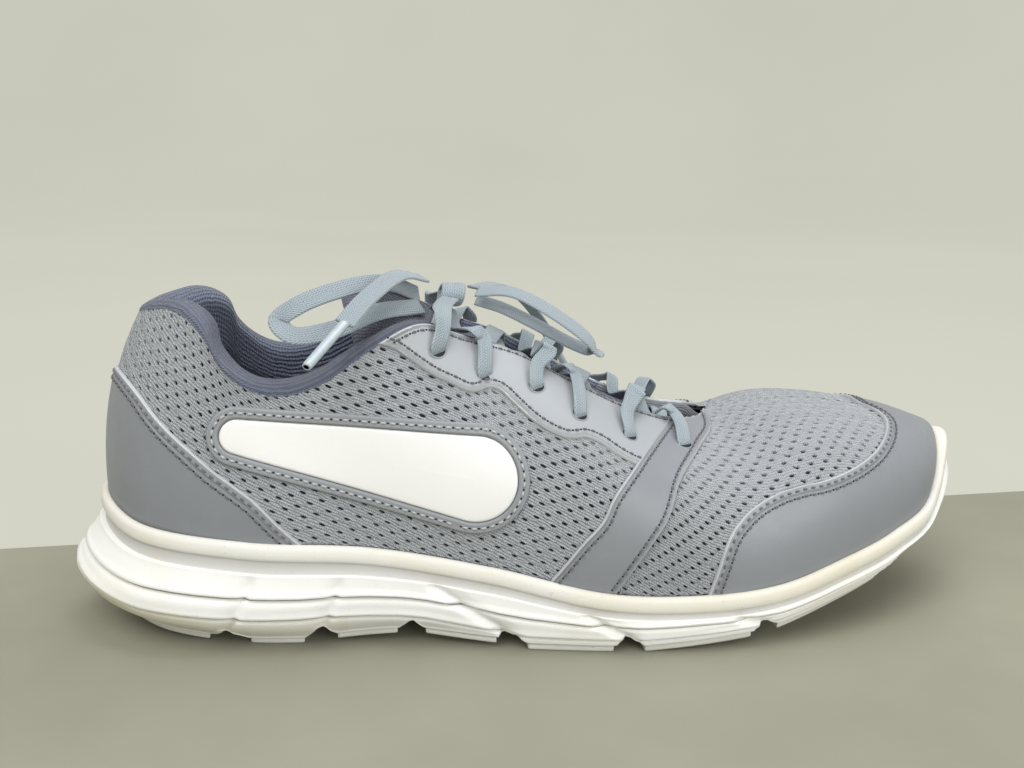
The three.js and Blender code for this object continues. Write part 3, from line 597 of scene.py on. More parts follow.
MESH_BLUE = (0.40, 0.425, 0.462)
OVERLAY_BLUE = (0.222, 0.234, 0.26)
EYESTAY_BLUE = (0.33, 0.352, 0.378)
WELT_GREY = (0.25, 0.265, 0.285)
SLATE = (0.12, 0.138, 0.2)
LACE_BLUE = (0.29, 0.345, 0.39)

M = {
    "knit": knit_material("mesh_knit", MESH_BLUE, 0.74, 1.22),
    # near-black sheet under the knit: painted shade inside the mesh holes
    "hole_shade_layer": plain_material("mesh_shade_sheet", (0.028, 0.033, 0.045), 0.95, specular=0.1),
    "overlay": coated_material("overlay_film", OVERLAY_BLUE, wear=0.22),
    "eyestay": coated_material("eyestay_film", EYESTAY_BLUE, 0.48, wear=0.05),
    "welt": coated_material("welt_film", WELT_GREY, 0.55, wear=0.2),
    # lighter grey for the films' rounded cut edges: a light edge, partly painted highlight where it rounds
    # over
    "edge": coated_material("cut_edge_light_and_highlight", (0.46, 0.48, 0.5), 0.5, wear=0.2),
    "panel": coated_material("side_panel_film", (0.77, 0.77, 0.775), 0.4, wear=0.0),
    "thread": thread_material("stitch_thread", (0.125, 0.13, 0.145)),
    "thread_light": thread_material("stitch_thread_light", (0.42, 0.44, 0.46)),
    # near-black for flat discs at the stitch and lace holes: painted shade in the holes
    "pit": plain_material("stitch_hole_shade", (0.03, 0.03, 0.04), 0.9, specular=0.1),
    "lining": knit_material("collar_knit", SLATE, 0.6, 1.5, 0.9, 1.6),
    "vamp_lining": knit_material("vamp_lining_knit", (0.20, 0.21, 0.24), 0.8, 1.1, 0.9),
    "tongue": knit_material("tongue_knit", (0.125, 0.13, 0.18), 0.7, 1.35, 0.9, 1.3),
    "sock": knit_material("insole_knit", (0.07, 0.075, 0.10), 0.7, 1.3, 0.92, 0.8),
    "insole_foam": plain_material("insole_foam", (0.11, 0.12, 0.15), 0.9, 500, 0.3),
    "foam": foam_material("midsole_foam", (0.80, 0.80, 0.80), (0.74, 0.71, 0.63), dirt=0.25),
    "rim": foam_material("midsole_rim", (0.72, 0.71, 0.68), (0.66, 0.61, 0.48), 0.62, 0.45, 0.5, 0.35),
    # grey foam for the band just under the rim: painted shade of the undercut there
    "band": foam_material("midsole_undercut_shade", (0.56, 0.555, 0.55), (0.52, 0.50, 0.45), 0.7, dirt=0.3),
    "rubber": foam_material("outsole_rubber", (0.70, 0.70, 0.685), (0.56, 0.55, 0.50), 0.72, 0.4, 0.3, 0.5),
    "stiffener": plain_material("stiffener_board", (0.55, 0.53, 0.48), 0.8, 300, 0.2),
    "lace": lace_material("lace_braid", LACE_BLUE),
    "aglet": aglet_material("aglet_sleeve"),
    "lace_tip": thread_material("lace_tip", (0.74, 0.72, 0.64)),
}


# ---- camera, light and floor -----------------------------------------------------------------------
def rotation(x_axis, y_axis, z_axis):
    return Matrix([x_axis, y_axis, z_axis]).transposed().to_4x4()


def camera():
    azimuth, elevation, roll = map(math.radians, (-8.45, 12.87, 1.22))
    distance, target = 338.2, Vector((-10.75, 0, 72.71))
    back = Vector((
        math.sin(azimuth) * math.cos(elevation),
        -math.cos(azimuth) * math.cos(elevation),
        math.sin(elevation),
    ))
    level = Vector((math.cos(azimuth), math.sin(azimuth), 0))
    up = back.cross(level)
    right = level * math.cos(roll) + up * math.sin(roll)
    data = bpy.data.cameras.new("camera")
    data.sensor_width = 36
    data.lens = 36.3
    data.clip_start, data.clip_end = 0.01, 30
    made = bpy.data.objects.new("camera", data)
    place = Matrix.Translation((target + back * distance) * MM)
    made.matrix_world = place @ rotation(right, back.cross(right), back)
    bpy.context.scene.collection.objects.link(made)
    bpy.context.scene.camera = made


def area_light(name, place, aim, size, power, colour=(1, 1, 1)):
    data = bpy.data.lights.new(name, "AREA")
    data.shape = "DISK"
    data.size, data.energy, data.color = size, power, colour
    made = bpy.data.objects.new(name, data)
    made.location = place
    made.rotation_euler = (Vector(place) - Vector(aim)).to_track_quat("Z", "Y").to_euler()
    bpy.context.scene.collection.objects.link(made)


def stage_piece(name, verts, faces, material, smooth=True):
    me = bpy.data.meshes.new(name)
    me.from_pydata(verts, [], faces)
    me.materials.append(material)
    me.polygons.foreach_set("use_smooth", np.full(len(faces), smooth))
    piece = bpy.data.objects.new(name, me)
    bpy.context.scene.collection.objects.link(piece)


def stage():
    """A pale bowl all round, with a darker flat board under the shoe that ends a little behind it."""
    turns, flat, high = 96, 1.7, 2.4
    profile = [(0.0, 0.0), (0.6, 0.0), (flat, 0.0)]
    bend = np.linspace(0.1, math.pi / 2, 14)
    profile += [(flat + 0.9 * math.sin(a), 0.9 - 0.9 * math.cos(a)) for a in bend]
    profile.append((flat + 0.9, high))
    verts, faces = [], []
    for r, z in profile:
        verts += [(r * math.cos(2 * math.pi * n / turns), r * math.sin(2 * math.pi * n / turns), z - 0.003)
                  for n in range(turns)]
    for row in range(len(profile) - 1):
        for n in range(turns):
            a, b = row * turns + n, row * turns + (n + 1) % turns
            faces.append((a, b, b + turns, a + turns))
    glow = Nodes("backdrop", 0.95, (0.1, 0.1, 0.09), specular=0.1)
    cloud = glow.noise(glow.place(), 1.3, 3)
    glow.link(glow.mix(cloud, (0.56, 0.56, 0.485), (0.47, 0.47, 0.40)), glow.shader.inputs["Emission Color"])
    glow.shader.inputs["Emission Strength"].default_value = 1.0
    stage_piece("backdrop", verts, faces, glow.mat)
    reach = 1.5
    middle = 0.0680375
    rise = 0.07125 * reach
    board = [(-reach, -reach, 0), (reach, -reach, 0), (reach, middle + rise, 0), (-reach, middle - rise, 0)]
    low = [(x, y, -0.003) for x, y, _ in board]
    sides = [(n, (n + 1) % 4, 4 + (n + 1) % 4, 4 + n)[::-1] for n in range(4)]
    stage_piece("board", board + low, [(0, 1, 2, 3)] + sides,
                plain_material("board_grey", (0.268, 0.262, 0.208), 0.8, 9, 0.02, specular=0.15), False)


def lights():
    area_light("key", (-0.55, -0.75, 1.25), (0, 0, 0.04), 1.1, 15, (1, 0.99, 0.97))
    area_light("top", (0.25, 0.15, 1.5), (0, 0, 0.04), 1.4, 12.5, (0.98, 0.985, 1))
    area_light("front", (0.75, -1.2, 0.45), (0, 0, 0.04), 0.9, 9.5, (1, 1, 1))
    world = bpy.data.worlds.new("studio")
    world.use_nodes = True
    world.node_tree.nodes["Background"].inputs["Color"].default_value = (0.86, 0.88, 0.9, 1)
    world.node_tree.nodes["Background"].inputs["Strength"].default_value = 0.45
    bpy.context.scene.world = world
    bpy.context.scene.view_settings.view_transform = "Standard"


camera()
lights()
stage()


# ---- laces -----------------------------------------------------------------------------------------
def tongue_section(k, x, z, t, u):
    """Points of the tongue's outer face at u in 0..1 across, from the outer side to the inner one."""
    clear = LINING_AT + LINING + (1.2 if k < 7.9 else 3.6)
    m = 2 * LAST - k
    if k < RIDGE:
        tuck = lambda q, v: off(q, v, -(clear + foam_at(q)))
        points = [tuck(k, t), tuck(k, (t + 1) / 2), tuck(k, 1), np.array([x, 0.6, z]),
                  tuck(m, 1), tuck(m, (t + 1) / 2), tuck(m, t)]
    else:
        at = lambda q, v: off(q, v, -clear)
        half = (t + 1) / 2
        points = [at(k, t), at(k, half), at(k, 0.93), at(k, 1), at(m, 0.93), at(m, half), at(m, t)]
    return catmull(np.array(points), u)


ACROSS = 12
tongue_keys = np.array([row[0] for row in TONGUE_ROWS])
tongue_grid = np.array([tongue_section(*row, np.linspace(0, 1, ACROSS + 1)) for row in TONGUE_ROWS])


def grid_normals(grid):
    pad = np.pad(grid, ((1, 1), (1, 1), (0, 0)), mode="edge")
    along = pad[2:, 1:-1] - pad[:-2, 1:-1]
    across = pad[1:-1, 2:] - pad[1:-1, :-2]
    return unit(np.cross(along, across))


tongue_normals = grid_normals(tongue_grid)


def tongue_at(k, u):
    """A point of the tongue's outer face and its normal, as in the CAD."""
    i = int(np.clip(np.searchsorted(tongue_keys, k, side="right"), 1, len(tongue_keys) - 1))
    f = np.clip((k - tongue_keys[i - 1]) / (tongue_keys[i] - tongue_keys[i - 1]), 0, 1)
    j = int(np.clip(math.floor(u * ACROSS), 0, ACROSS - 1))
    g = u * ACROSS - j
    row = lambda grid, n: grid[n, j] * (1 - g) + grid[n, j + 1] * g
    mix = lambda grid: row(grid, i - 1) * (1 - f) + row(grid, i) * f
    return mix(tongue_grid), unit(mix(tongue_normals))


def lace_section(width, thick, count=20):
    """Flat braid's outline: a rounded band with a shallow dip along its middle."""
    a = np.linspace(0, 2 * np.pi, count, endpoint=False)
    y = np.sign(np.cos(a)) * np.abs(np.cos(a)) ** 0.55 / 2
    z = np.sign(np.sin(a)) * np.abs(np.sin(a)) ** 0.75 / 2
    z *= 1 - 0.18 * np.exp(-((y * 5) ** 2))
    return y * width, z * thick


def ribbon_mesh(points, faces_dir, widths, thicks, close_ends=True):
    """A band swept along points, its flat side along faces_dir."""
    n = len(points)
    tangent = unit(np.gradient(points, axis=0))
    face = unit(faces_dir - tangent * (faces_dir * tangent).sum(-1, keepdims=True))
    side = np.cross(tangent, face)
    s = travelled(points)
    rows, cloth = [], []
    for i in range(n):
        y, z = lace_section(widths[i], thicks[i])
        rows.append(points[i] + side[i] * y[:, None] + face[i] * z[:, None])
        cloth.append(np.stack([np.full(len(y), s[i]), y, z], -1))
    count = len(rows[0])
    verts = np.concatenate(rows)
    faces = []
    for i in range(n - 1):
        for j in range(count):
            a, b = i * count + j, i * count + (j + 1) % count
            faces.append((a, b, b + count, a + count))
    if close_ends:
        faces.append(tuple(range(count - 1, -1, -1)))
        faces.append(tuple((n - 1) * count + j for j in range(count)))
    return verts, faces, np.concatenate(cloth), s[-1]


def lace_piece(name, stops, nodes, step=0.7, body="shoe"):
    """stops are (point, face direction, width, thickness); the band runs through them as the CAD one does."""
    points = np.array([s[0] for s in stops], float)
    face = np.array([s[1] for s in stops], float)
    size = np.array([[s[2], s[3]] for s in stops], float)
    rough = catmull(points, np.linspace(0, 1, 200))
    length = np.linalg.norm(np.diff(rough, axis=0), axis=1).sum()
    u = np.linspace(0, 1, int(length / step) + 2)
    path, normals, sizes = catmull(points, u), catmull(face, u), catmull(np.c_[size, size[:, :1]], u)
    verts, faces, cloth, length = ribbon_mesh(path, normals, sizes[:, 0], sizes[:, 1])
    piece = make(name, verts, faces, M["lace"], body, nodes, cloth=cloth)
    return piece, path, length


THIN, THICK = 2.6, 1.4
SIDES = ("lateral", "medial")


def station(side, k):
    return k if side == "lateral" else 2 * LAST - k


def stop(q, t, d, wide=LACE_WIDE, thick=LACE_THICK):
    return off(q, t, d), normal(q, t), wide, thick


def in_hole(q, t, d, turn):
    rise = unit(skin(q, t + 0.02) - skin(q, t - 0.02))
    return off(q, t, d), rise * turn, THIN, THICK


def from_hole(q, t):
    """The lace slides out of its hole at a slant, at nearly its full width."""
    rise = unit(skin(q, t + 0.02) - skin(q, t - 0.02))
    n = normal(q, t)
    return [
        (off(q, t, 0.3) - rise, n - 1.1 * rise, 4.6, 1.2),
        (off(q, t, 1.9) + 0.4 * rise, n - 0.7 * rise, 5.2, 1.2),
    ]


def under_depth(q):
    return -(LINING_AT + LINING + foam_at(q) + 1.6)


def over_edge(side, row, to, lift):
    k, t, e = EYELETS[row]
    q = lambda f: station(side, f)
    return [
        *from_hole(q(k), t),
        stop(q(k + (e - k) * 0.5), (1 + t) / 2, 3.5, 4.6), stop(q(e + (to - e) * 0.1), 0.97, 4 + lift, 5),
        stop(q(e + (to - e) * 0.2), 1, 4.9 + lift, 5),
    ]


def under_edge(side, row, to, lift=0):
    k, t, e = EYELETS[row]
    q = lambda f: station(side, f)
    deep = under_depth(k)
    return [
        in_hole(q(k), t, -1 - THICK, 1), in_hole(q(k), t, deep + 0.6, 1),
        stop(q(k + (e - k) * 0.6), t + 0.6 * (1 - t), deep, 5), stop(q(e + (to - e) * 0.2), 1, deep),
    ]


def strap(side, first_row, last_row, first, last, lifts, more=0.0):
    a, b = EYELETS[first_row][2], EYELETS[last_row][2]
    across = []
    for i, u in enumerate((0.4, 0.5, 0.6)):
        p, n = tongue_at(a + (b - a) * (0.5 + (u - 0.5) * 1.8), 1 - u if side == "medial" else u)
        across.append((p + n * (lifts + more), n, LACE_WIDE if i == 1 else LACE_WIDE - 1, LACE_THICK))
    far = "medial" if side == "lateral" else "lateral"
    return first(side, first_row, b, more) + across + last(far, last_row, a, more)[::-1]


def lacing():
    lace_piece("lace_bar_braid", strap("lateral", 5, 5, under_edge, under_edge, 1.3), ["lace_bar"])
    kinds = [
        (5, 4, over_edge, over_edge, 3.6, None), (4, 3, under_edge, under_edge, 1.4, None),
        (3, 2, over_edge, over_edge, 3.6, None), (2, 1, under_edge, under_edge, 1.4, None),
        (1, 0, over_edge, under_edge, 4.2, 1.8),
    ]
    for first_row, last_row, first, last, lifts, crossing in kinds:
        for n, side in enumerate(SIDES):
            node = f"lace_strap_{first_row + 1}_{last_row + 1}_{side}"
            lift, more = (crossing, 0.0) if crossing and n else (lifts, 2.5 * n)
            stops = strap(side, first_row, last_row, first, last, lift, more)
            lace_piece(node.replace("strap", "braid"), stops, [node])
    for side, s in zip(SIDES, (-1, 1)):
        k, t, e = EYELETS[0]
        q = lambda f: station(side, f)
        stops = [
            *from_hole(q(k), t), stop(q((k + e) / 2), (1 + t) / 2, 3.4, 4.8),
            stop(q(e), 1, 3.8, 6),
            (np.array([-34.5, s * 12, 100.5]), np.array([0, s * 0.3, 1.0]), 6, LACE_THICK),
            (np.array([-32, s * 7.4, 102]), np.array([0, s * 0.2, 1.0]), 6, LACE_THICK),
        ]
        lace_piece(f"lace_riser_braid_{side}", stops, [f"lace_riser_{side}"])


# the free part of the lace: the knot, two bow loops and two ends, along the CAD routes
KNOT = np.array([-31, 0, 102.2])
LOOP_REAR = [
    [-41.5, -1, 102.5], [-52, -8, 107], [-66, -18, 106], [-78, -24, 102], [-83, -25, 98], [-79, -29, 94.5],
    [-68, -27, 95.5], [-55, -19, 99.5], [-41, -6, 99.3],
]
LOOP_FRONT = [
    [-22.5, 1, 103], [-12, -4, 103.5], [0, -10, 98], [11, -14, 90], [14, -12, 85.5], [8, -6, 87],
    [-4, -2, 93], [-14, 2, 97.5], [-22.5, 4, 100],
]
END_LATERAL = [[-40, 3.5, 107], [-48, -11, 109.6], [-58, -27, 104.5], [-64, -36, 99]]
END_MEDIAL = [[-23, 6, 103.6], [-14, 15, 103.5], [-4, 24, 97], [4, 32, 88], [9, 37, 80]]
AGLET_LONG, AGLET_R = 20.0, 1.6


def aglet(side, points):
    b, a = np.array(points[-2], float), np.array(points[-1], float)
    along = unit(a - b)
    start = a + along * GAP
    across = unit(np.cross(along, [0, 0, 1]))
    third = np.cross(across, along)
    profile = [
        (-0.6, 1.1), (-0.6, 1.45), (0.2, AGLET_R),
        (AGLET_LONG - 1.0, 1.5), (AGLET_LONG, 1.35), (AGLET_LONG, 0.9),
    ]
    turns = 20
    ring = np.linspace(0, 2 * np.pi, turns, endpoint=False)
    rows = [start + along * s + r * (across * np.cos(ring)[:, None] + third * 0.8 * np.sin(ring)[:, None])
            for s, r in profile]
    verts = np.concatenate(rows)
    faces = grid_faces(len(rows), turns).tolist()
    faces += [(i * turns + turns - 1, (i + 1) * turns + turns - 1, (i + 1) * turns, i * turns)
              for i in range(len(rows) - 1)]
    faces += [tuple(range(turns))[::-1], tuple((len(rows) - 1) * turns + j for j in range(turns))]
    sleeve = make(f"aglet_sleeve_{side}", verts, faces, M["aglet"], nodes=[f"aglet_{side}"])
    return sleeve


def free_braid(name, points, face, nodes):
    stops = [(np.array(p, float), np.array(face, float), LACE_WIDE, LACE_THICK) for p in points]
    piece, path, length = lace_piece(name, stops, nodes)
    return piece


def knot_piece():
    """The bow's knot: one flat turn of lace wrapped over the crossing of the loops."""
    turns = np.linspace(0, 2 * np.pi, 60)
    tilt = np.array([0.25, 0.0, 1.0])
    wrap_path = np.stack([1.2 * np.sin(turns) * 0.6, 5.4 * np.cos(turns), 3.1 * np.sin(turns)], -1) + KNOT
    outward_dir = unit(np.stack([0 * turns, np.cos(turns) * 0.6, np.sin(turns)], -1) + 0.05 * tilt)
    verts, faces, cloth, _ = ribbon_mesh(wrap_path, outward_dir, np.full(60, 7.5), np.full(60, 1.5))
    return verts, faces, cloth


def bow():
    free_braid("lace_bow_rear", LOOP_REAR, [0.1, -0.75, 0.65], ["lace_loop_rear"])
    free_braid("lace_bow_front", LOOP_FRONT, [0.2, -0.5, 0.85], ["lace_loop_front"])
    tips = {side: aglet(side, points) for side, points in (("lateral", END_LATERAL), ("medial", END_MEDIAL))}
    ends = ("lateral", END_LATERAL, [0.1, -0.5, 0.85]), ("medial", END_MEDIAL, [0.4, 0.3, 0.85])
    for side, points, face in ends:
        free_braid(f"lace_tail_{side}", points, face, [f"lace_end_{side}"])
    verts, faces, cloth = knot_piece()
    make("lace_knot_braid", verts, faces, M["lace"], nodes=["lace_knot"], cloth=cloth)


lacing()
bow()


# ---- outlines of the panels on the skin: (station, height) along the outer side ---------------------
# These rows, the first two columns of EYELETS and the numbers of camera() were worked out by fitting scripts
# outside this file and copied here, a few of them with small changes.
HEEL_EDGE = [
    (4.88, 0), (4.62, 0.085), (4.4, 0.17), (4.2, 0.24), (3.88, 0.3), (3.55, 0.34), (3.2, 0.385),
    (2.83, 0.427), (2.4, 0.475), (1.78, 0.547), (1.15, 0.603), (0.5, 0.63), (0, 0.635),
]
TOE_EDGE = [
    (12.15, 0), (12.6, 0.198), (13.1, 0.305), (13.65, 0.363), (14.2, 0.378), (14.9, 0.35), (15.5, 0.334),
    (16.12, 0.338), (16.85, 0.367), (17.6, 0.43), (18.2, 0.52), (18.6, 0.612),
    (18.95, 0.733), (19.08, 0.86), (19.12, 1),
]
EYE_EDGE = [
    (7.15, 1), (7.38, 0.94), (7.58, 0.853), (7.8, 0.775), (8.08, 0.723), (8.35, 0.695), (8.62, 0.708),
    (8.9, 0.738), (9.1, 0.728), (9.2, 0.677), (9.33, 0.615), (9.5, 0.57), (9.78, 0.537), (10, 0.542),
    (10.28, 0.565), (10.53, 0.56), (10.75, 0.532), (11.1, 0.51), (11.35, 0.515),
]
BAND_REAR = [(9, 0), (9.55, 0.133), (10, 0.225), (10.25, 0.302), (11.1, 0.508), (12.35, 0.823), (13.05, 1)]
BAND_FRONT = [
    (10.18, 0), (10.53, 0.08), (10.95, 0.177), (11.33, 0.27), (11.9, 0.463), (12.48, 0.615), (13.25, 0.785),
    (13.95, 0.89), (14.6, 1),
]


def on_side(side, kt):
    """Stations and heights of the outer side, taken to the side asked for."""
    kt = np.array(kt, float)
    return np.stack([station(side, kt[:, 0]), kt[:, 1]], -1)


def skin_of(qt):
    return skin(qt[:, 0], qt[:, 1])


def edge_line(rows, side="lateral", step=0.5):
    return polyline(on_side(side, rows), step=step, metric=skin_of)


def height_of(rows):
    """Height of an outline at a station, for outlines that run one way along the shoe."""
    line = np.array(sorted(map(tuple, edge_line(rows))))
    return lambda k: np.interp(k, line[:, 0], line[:, 1])


def station_of(rows):
    line = np.array(sorted(map(tuple, edge_line(rows)[:, ::-1])))
    return lambda t: np.interp(t, line[:, 0], line[:, 1])


heel_top = height_of(HEEL_EDGE)
toe_top = height_of(TOE_EDGE)
eye_low = height_of(EYE_EDGE)
band_rear = station_of(BAND_REAR)
band_front = station_of(BAND_FRONT)


# ---- side panel: two circles joined by straight lines, in the side view ------------------------------
TAIL = (-95.0, 66.0, 5.0)
HEAD = (-27.0, 53.5, 12.5)


def panel_outline(grow, step=0.6):
    (x0, z0, r0), (x1, z1, r1) = TAIL, HEAD
    line = math.atan2(z1 - z0, x1 - x0)
    lean = math.acos((r0 - r1) / math.hypot(x1 - x0, z1 - z0))

    def arc(x, z, r, start, end):
        a = np.linspace(start, end, max(6, int(r * abs(end - start) / step)))
        return np.stack([x + r * np.cos(a), z + r * np.sin(a)], -1)

    head = arc(x1, z1, r1 + grow, line - lean, line + lean)
    tail = arc(x0, z0, r0 + grow, line + lean, line + 2 * math.pi - lean)
    ring = np.concatenate([head, tail, head[:1]])
    s = travelled(ring)
    want = np.linspace(0, s[-1], int(s[-1] / step))[:-1]
    return np.stack([np.interp(want, s, ring[:, c]) for c in (0, 1)], -1)


def to_skin(xz, side):
    """Station and height of points given in the side view, by Newton's method."""
    xz = np.asarray(xz, float)
    probe = np.linspace(0, 14, 60)
    k = np.interp(xz[:, 0], skin(probe, 0.5)[:, 0], probe)
    t = np.full(len(xz), 0.5)
    at = lambda k, t: skin(station(side, k), t)[:, [0, 2]]
    for _ in range(12):
        p, e = at(k, t), 1e-3
        dk, dt = (at(k + e, t) - p) / e, (at(k, t + e) - p) / e
        miss = xz - p
        det = dk[:, 0] * dt[:, 1] - dk[:, 1] * dt[:, 0]
        k = np.clip(k + np.clip((miss[:, 0] * dt[:, 1] - miss[:, 1] * dt[:, 0]) / det, -1, 1), 0, 15)
        t = np.clip(t + np.clip((dk[:, 0] * miss[:, 1] - dk[:, 1] * miss[:, 0]) / det, -0.3, 0.3), 0, 1)
    return np.stack([station(side, k), t], -1)


def panel_distance(x, z):
    """Signed distance from the side panel's outline, negative inside."""
    (x0, z0, r0), (x1, z1, r1) = TAIL, HEAD
    long = math.hypot(x1 - x0, z1 - z0)
    ux, uz = (x1 - x0) / long, (z1 - z0) / long
    a = (x - x0) * ux + (z - z0) * uz
    b = np.abs(-(x - x0) * uz + (z - z0) * ux)
    slope = (r1 - r0) / long
    w = np.clip((a + slope * b) / long, 0, 1)
    return np.hypot(a - w * long, b) - (r0 + (r1 - r0) * w)


# ---- knitted mesh: a lattice of cells, each with an open hole, over a near-black sheet of painted shade ---
CELL_LONG, CELL_HIGH = 5.2, 2.4
HOLE_LONG, HOLE_HIGH = 0.9, 0.5
CELL_RIM = [
    (2, 0), (2, 1), (1, 1), (0, 1), (-1, 1), (-2, 1),
    (-2, 0), (-2, -1), (-1, -1), (0, -1), (1, -1), (2, -1),
]


def cell_rings():
    """Offsets of a cell's rings from its centre (mm along, mm across) and their heights above the skin."""
    angle = np.radians(30 * np.arange(12))
    rim = np.array(CELL_RIM, float) * [CELL_LONG / 4, CELL_HIGH / 2]
    hole = np.stack([HOLE_LONG * np.cos(angle), HOLE_HIGH * np.sin(angle)], -1)
    crown = 0.45 * rim + 0.6 * hole
    return [(rim, -0.02), (crown, 0.3), (1.12 * hole, 0.16), (hole, -0.1), (0.92 * hole, -0.8)]


class SideMap:
    """Millimetres along and up one side of the skin, to stations and heights and back."""

    def __init__(self, side, along_at, first, last):
        self.side = side
        self.keys = np.linspace(first, last, int((last - first) * 20) + 1)
        self.rows = np.linspace(0, 1, 81)
        p = skin(station(side, self.keys)[:, None], self.rows[None])
        self.up = travelled(p, 1)
        line = skin(station(side, self.keys), along_at)
        self.along = travelled(line)
        self.foot = feather(station(side, self.keys))[:, 2]
        self.edge = np.maximum(np.abs(topline(station(side, self.keys))[:, 1] - 2.5), 0)

    def key(self, u):
        return np.interp(u, self.along, self.keys)

    def heights(self, k, v):
        """Height on the rib for a distance v up from the rim."""
        f = np.clip((k - self.keys[0]) / (self.keys[1] - self.keys[0]), 0, len(self.keys) - 1.001)
        i = f.astype(int)
        w = (f - i)[:, None]
        row = self.up[i] * (1 - w) + self.up[i + 1] * w
        v = np.clip(v, 0, row[:, -1])
        j = np.clip((row <= v[:, None]).sum(1) - 1, 0, len(self.rows) - 2)
        n = np.arange(len(k))
        a, b = row[n, j], row[n, j + 1]
        share = (v - a) / np.maximum(b - a, 1e-9)
        return self.rows[j] + (self.rows[j + 1] - self.rows[j]) * share, row[:, -1]


def knit(name, cells, place, nodes):
    """cells are (column, row) of the lattice; place takes lattice millimetres to stations and heights."""
    cells = np.array(cells)
    cx, cy = 4 * cells[:, 0] + 2 * (cells[:, 1] % 2), 2 * cells[:, 1]
    centre = np.stack([cx * CELL_LONG / 4, cy * CELL_HIGH / 2], -1)
    rings = cell_rings()
    flat, high = [], []
    for offsets, height in rings:
        flat.append(centre[:, None] + offsets[None])
        high.append(np.full((len(cells), 12), height))
    flat, high = np.stack(flat, 1), np.stack(high, 1)
    count, levels = len(cells), len(rings)
    index = np.arange(count * levels * 12).reshape(count, levels, 12)
    around = np.roll(index, -1, axis=2)
    faces = np.stack([index[:, :-1], around[:, :-1], around[:, 1:], index[:, 1:]], -1).reshape(-1, 4)
    flat, high = flat.reshape(-1, 2), high.ravel()
    lattice = np.round(np.c_[flat * 200, high * 100]).astype(np.int64)
    _, first, inverse = np.unique(lattice, axis=0, return_index=True, return_inverse=True)
    flat, high, faces = flat[first], high[first], inverse.reshape(-1)[faces]
    q, t, turn = place(flat[:, 0], flat[:, 1])
    verts = skin(q, t) + normal(q, t) * high[:, None]
    faces = faces[:, ::-1] if turn else faces
    a, b, c, d = verts[faces.T]
    size = np.linalg.norm(np.cross(c - a, d - b), axis=1)
    return make(name, verts, faces[size > 0.004], M["knit"], nodes=nodes, cloth=flat)


QUARTER_TURN = math.radians(-30)


def quarter_knit(side, nodes):
    chart = SideMap(side, 0.45, 0, 14)
    c, s = math.cos(QUARTER_TURN), math.sin(QUARTER_TURN)

    def unturn(x, y):
        u, v = x * c - y * s, x * s + y * c
        k = np.clip(chart.key(u), 0, 14)
        return u, k, v - np.interp(k, chart.keys, chart.foot)

    def place(x, y):
        u, k, v = unturn(x, y)
        t, _ = chart.heights(k, v)
        k = np.where(u < 0, 0, k)
        return station(side, k), t, side == "medial"

    i, j = np.meshgrid(np.arange(-30, 50), np.arange(-10, 90), indexing="ij")
    i, j = i.ravel(), j.ravel()
    x, y = (i + 0.5 * (j % 2)) * CELL_LONG, j * CELL_HIGH
    u, k, v = unturn(x, y)
    t, length = chart.heights(k, v)
    p = skin(station(side, k), t)
    keep = (u > -3) & (v > -2.5) & (v < length + 2.5)
    keep &= k < 0.5 * (band_rear(t) + band_front(t))
    keep &= ~((k < 5) & (t < heel_top(k) - 0.06))
    keep &= ~((k > 7.3) & (k < 12) & (t > eye_low(k) + 0.08) & (t > 0.4))
    keep &= panel_distance(p[:, 0], p[:, 2]) > -2.0
    return knit(f"quarter_knit_{side}", np.stack([i, j], -1)[keep], place, nodes)


def vamp_knit(nodes):
    charts = {side: SideMap(side, 0.75, 9, 22) for side in SIDES}

    def unfold(x, y):
        """Station on each side and distance down from the ridge line; y is positive on the inner side."""
        k = np.where(y > 0, charts["medial"].key(x), charts["lateral"].key(x))
        edge = np.where(y > 0, np.interp(k, charts["medial"].keys, charts["medial"].edge),
                        np.interp(k, charts["lateral"].keys, charts["lateral"].edge))
        edge = edge * (k < RIDGE)
        return k, np.abs(y) - edge

    def heights(k, down, inner):
        t = np.empty(len(k))
        long = np.empty(len(k))
        for side, here in (("medial", inner), ("lateral", ~inner)):
            chart = charts[side]
            total = np.interp(k[here], chart.keys, chart.up[:, -1])
            t[here], long[here] = chart.heights(k[here], total - np.maximum(down[here], 0))
        return t, long

    def place(x, y):
        k, down = unfold(x, y)
        inner = y > 0
        t, _ = heights(k, down, inner)
        return np.where(inner, 2 * LAST - k, k), t, True

    i, j = np.meshgrid(np.arange(0, 36), np.arange(-44, 45), indexing="ij")
    i, j = i.ravel(), j.ravel()
    x, y = (i + 0.5 * (j % 2)) * CELL_LONG, j * CELL_HIGH
    k, down = unfold(x, y)
    t, long = heights(k, down, y > 0)
    keep = (down > -1.4) & (down < long + 2) & (k > 0.5 * (band_rear(t) + band_front(t)) - 0.15)
    keep &= ~((k > 12.6) & (t < toe_top(k) - 0.12)) & (k < 20.2)
    return knit("vamp_knit", np.stack([i, j], -1)[keep], place, nodes)


def hole_shade_layer(name, first, last, depth, material, nodes=()):
    """Near-black sheet just under the open mesh: painted shade seen through its holes."""
    qs = np.arange(first, last + 0.01, 0.25)
    ts = np.linspace(0, 1, 33)
    outer = off(qs[:, None], ts[None], np.full((len(qs), len(ts)), depth))
    inner = off(qs[:, None], ts[None], np.full((len(qs), len(ts)), depth - 0.6))
    verts, faces = slab(outer, inner, close=False)
    return make(name, verts, faces, material, nodes=nodes)


# ---- bonded panels ---------------------------------------------------------------------------------
EDGE_MARKS = [0, 0.1, 0.25, 0.45, 0.7, 1.0, 1.5, 2.0, 2.35, 2.5, 2.65, 2.8, 3.0, 3.3, 4.0, 5.0]
WELT = 2.5


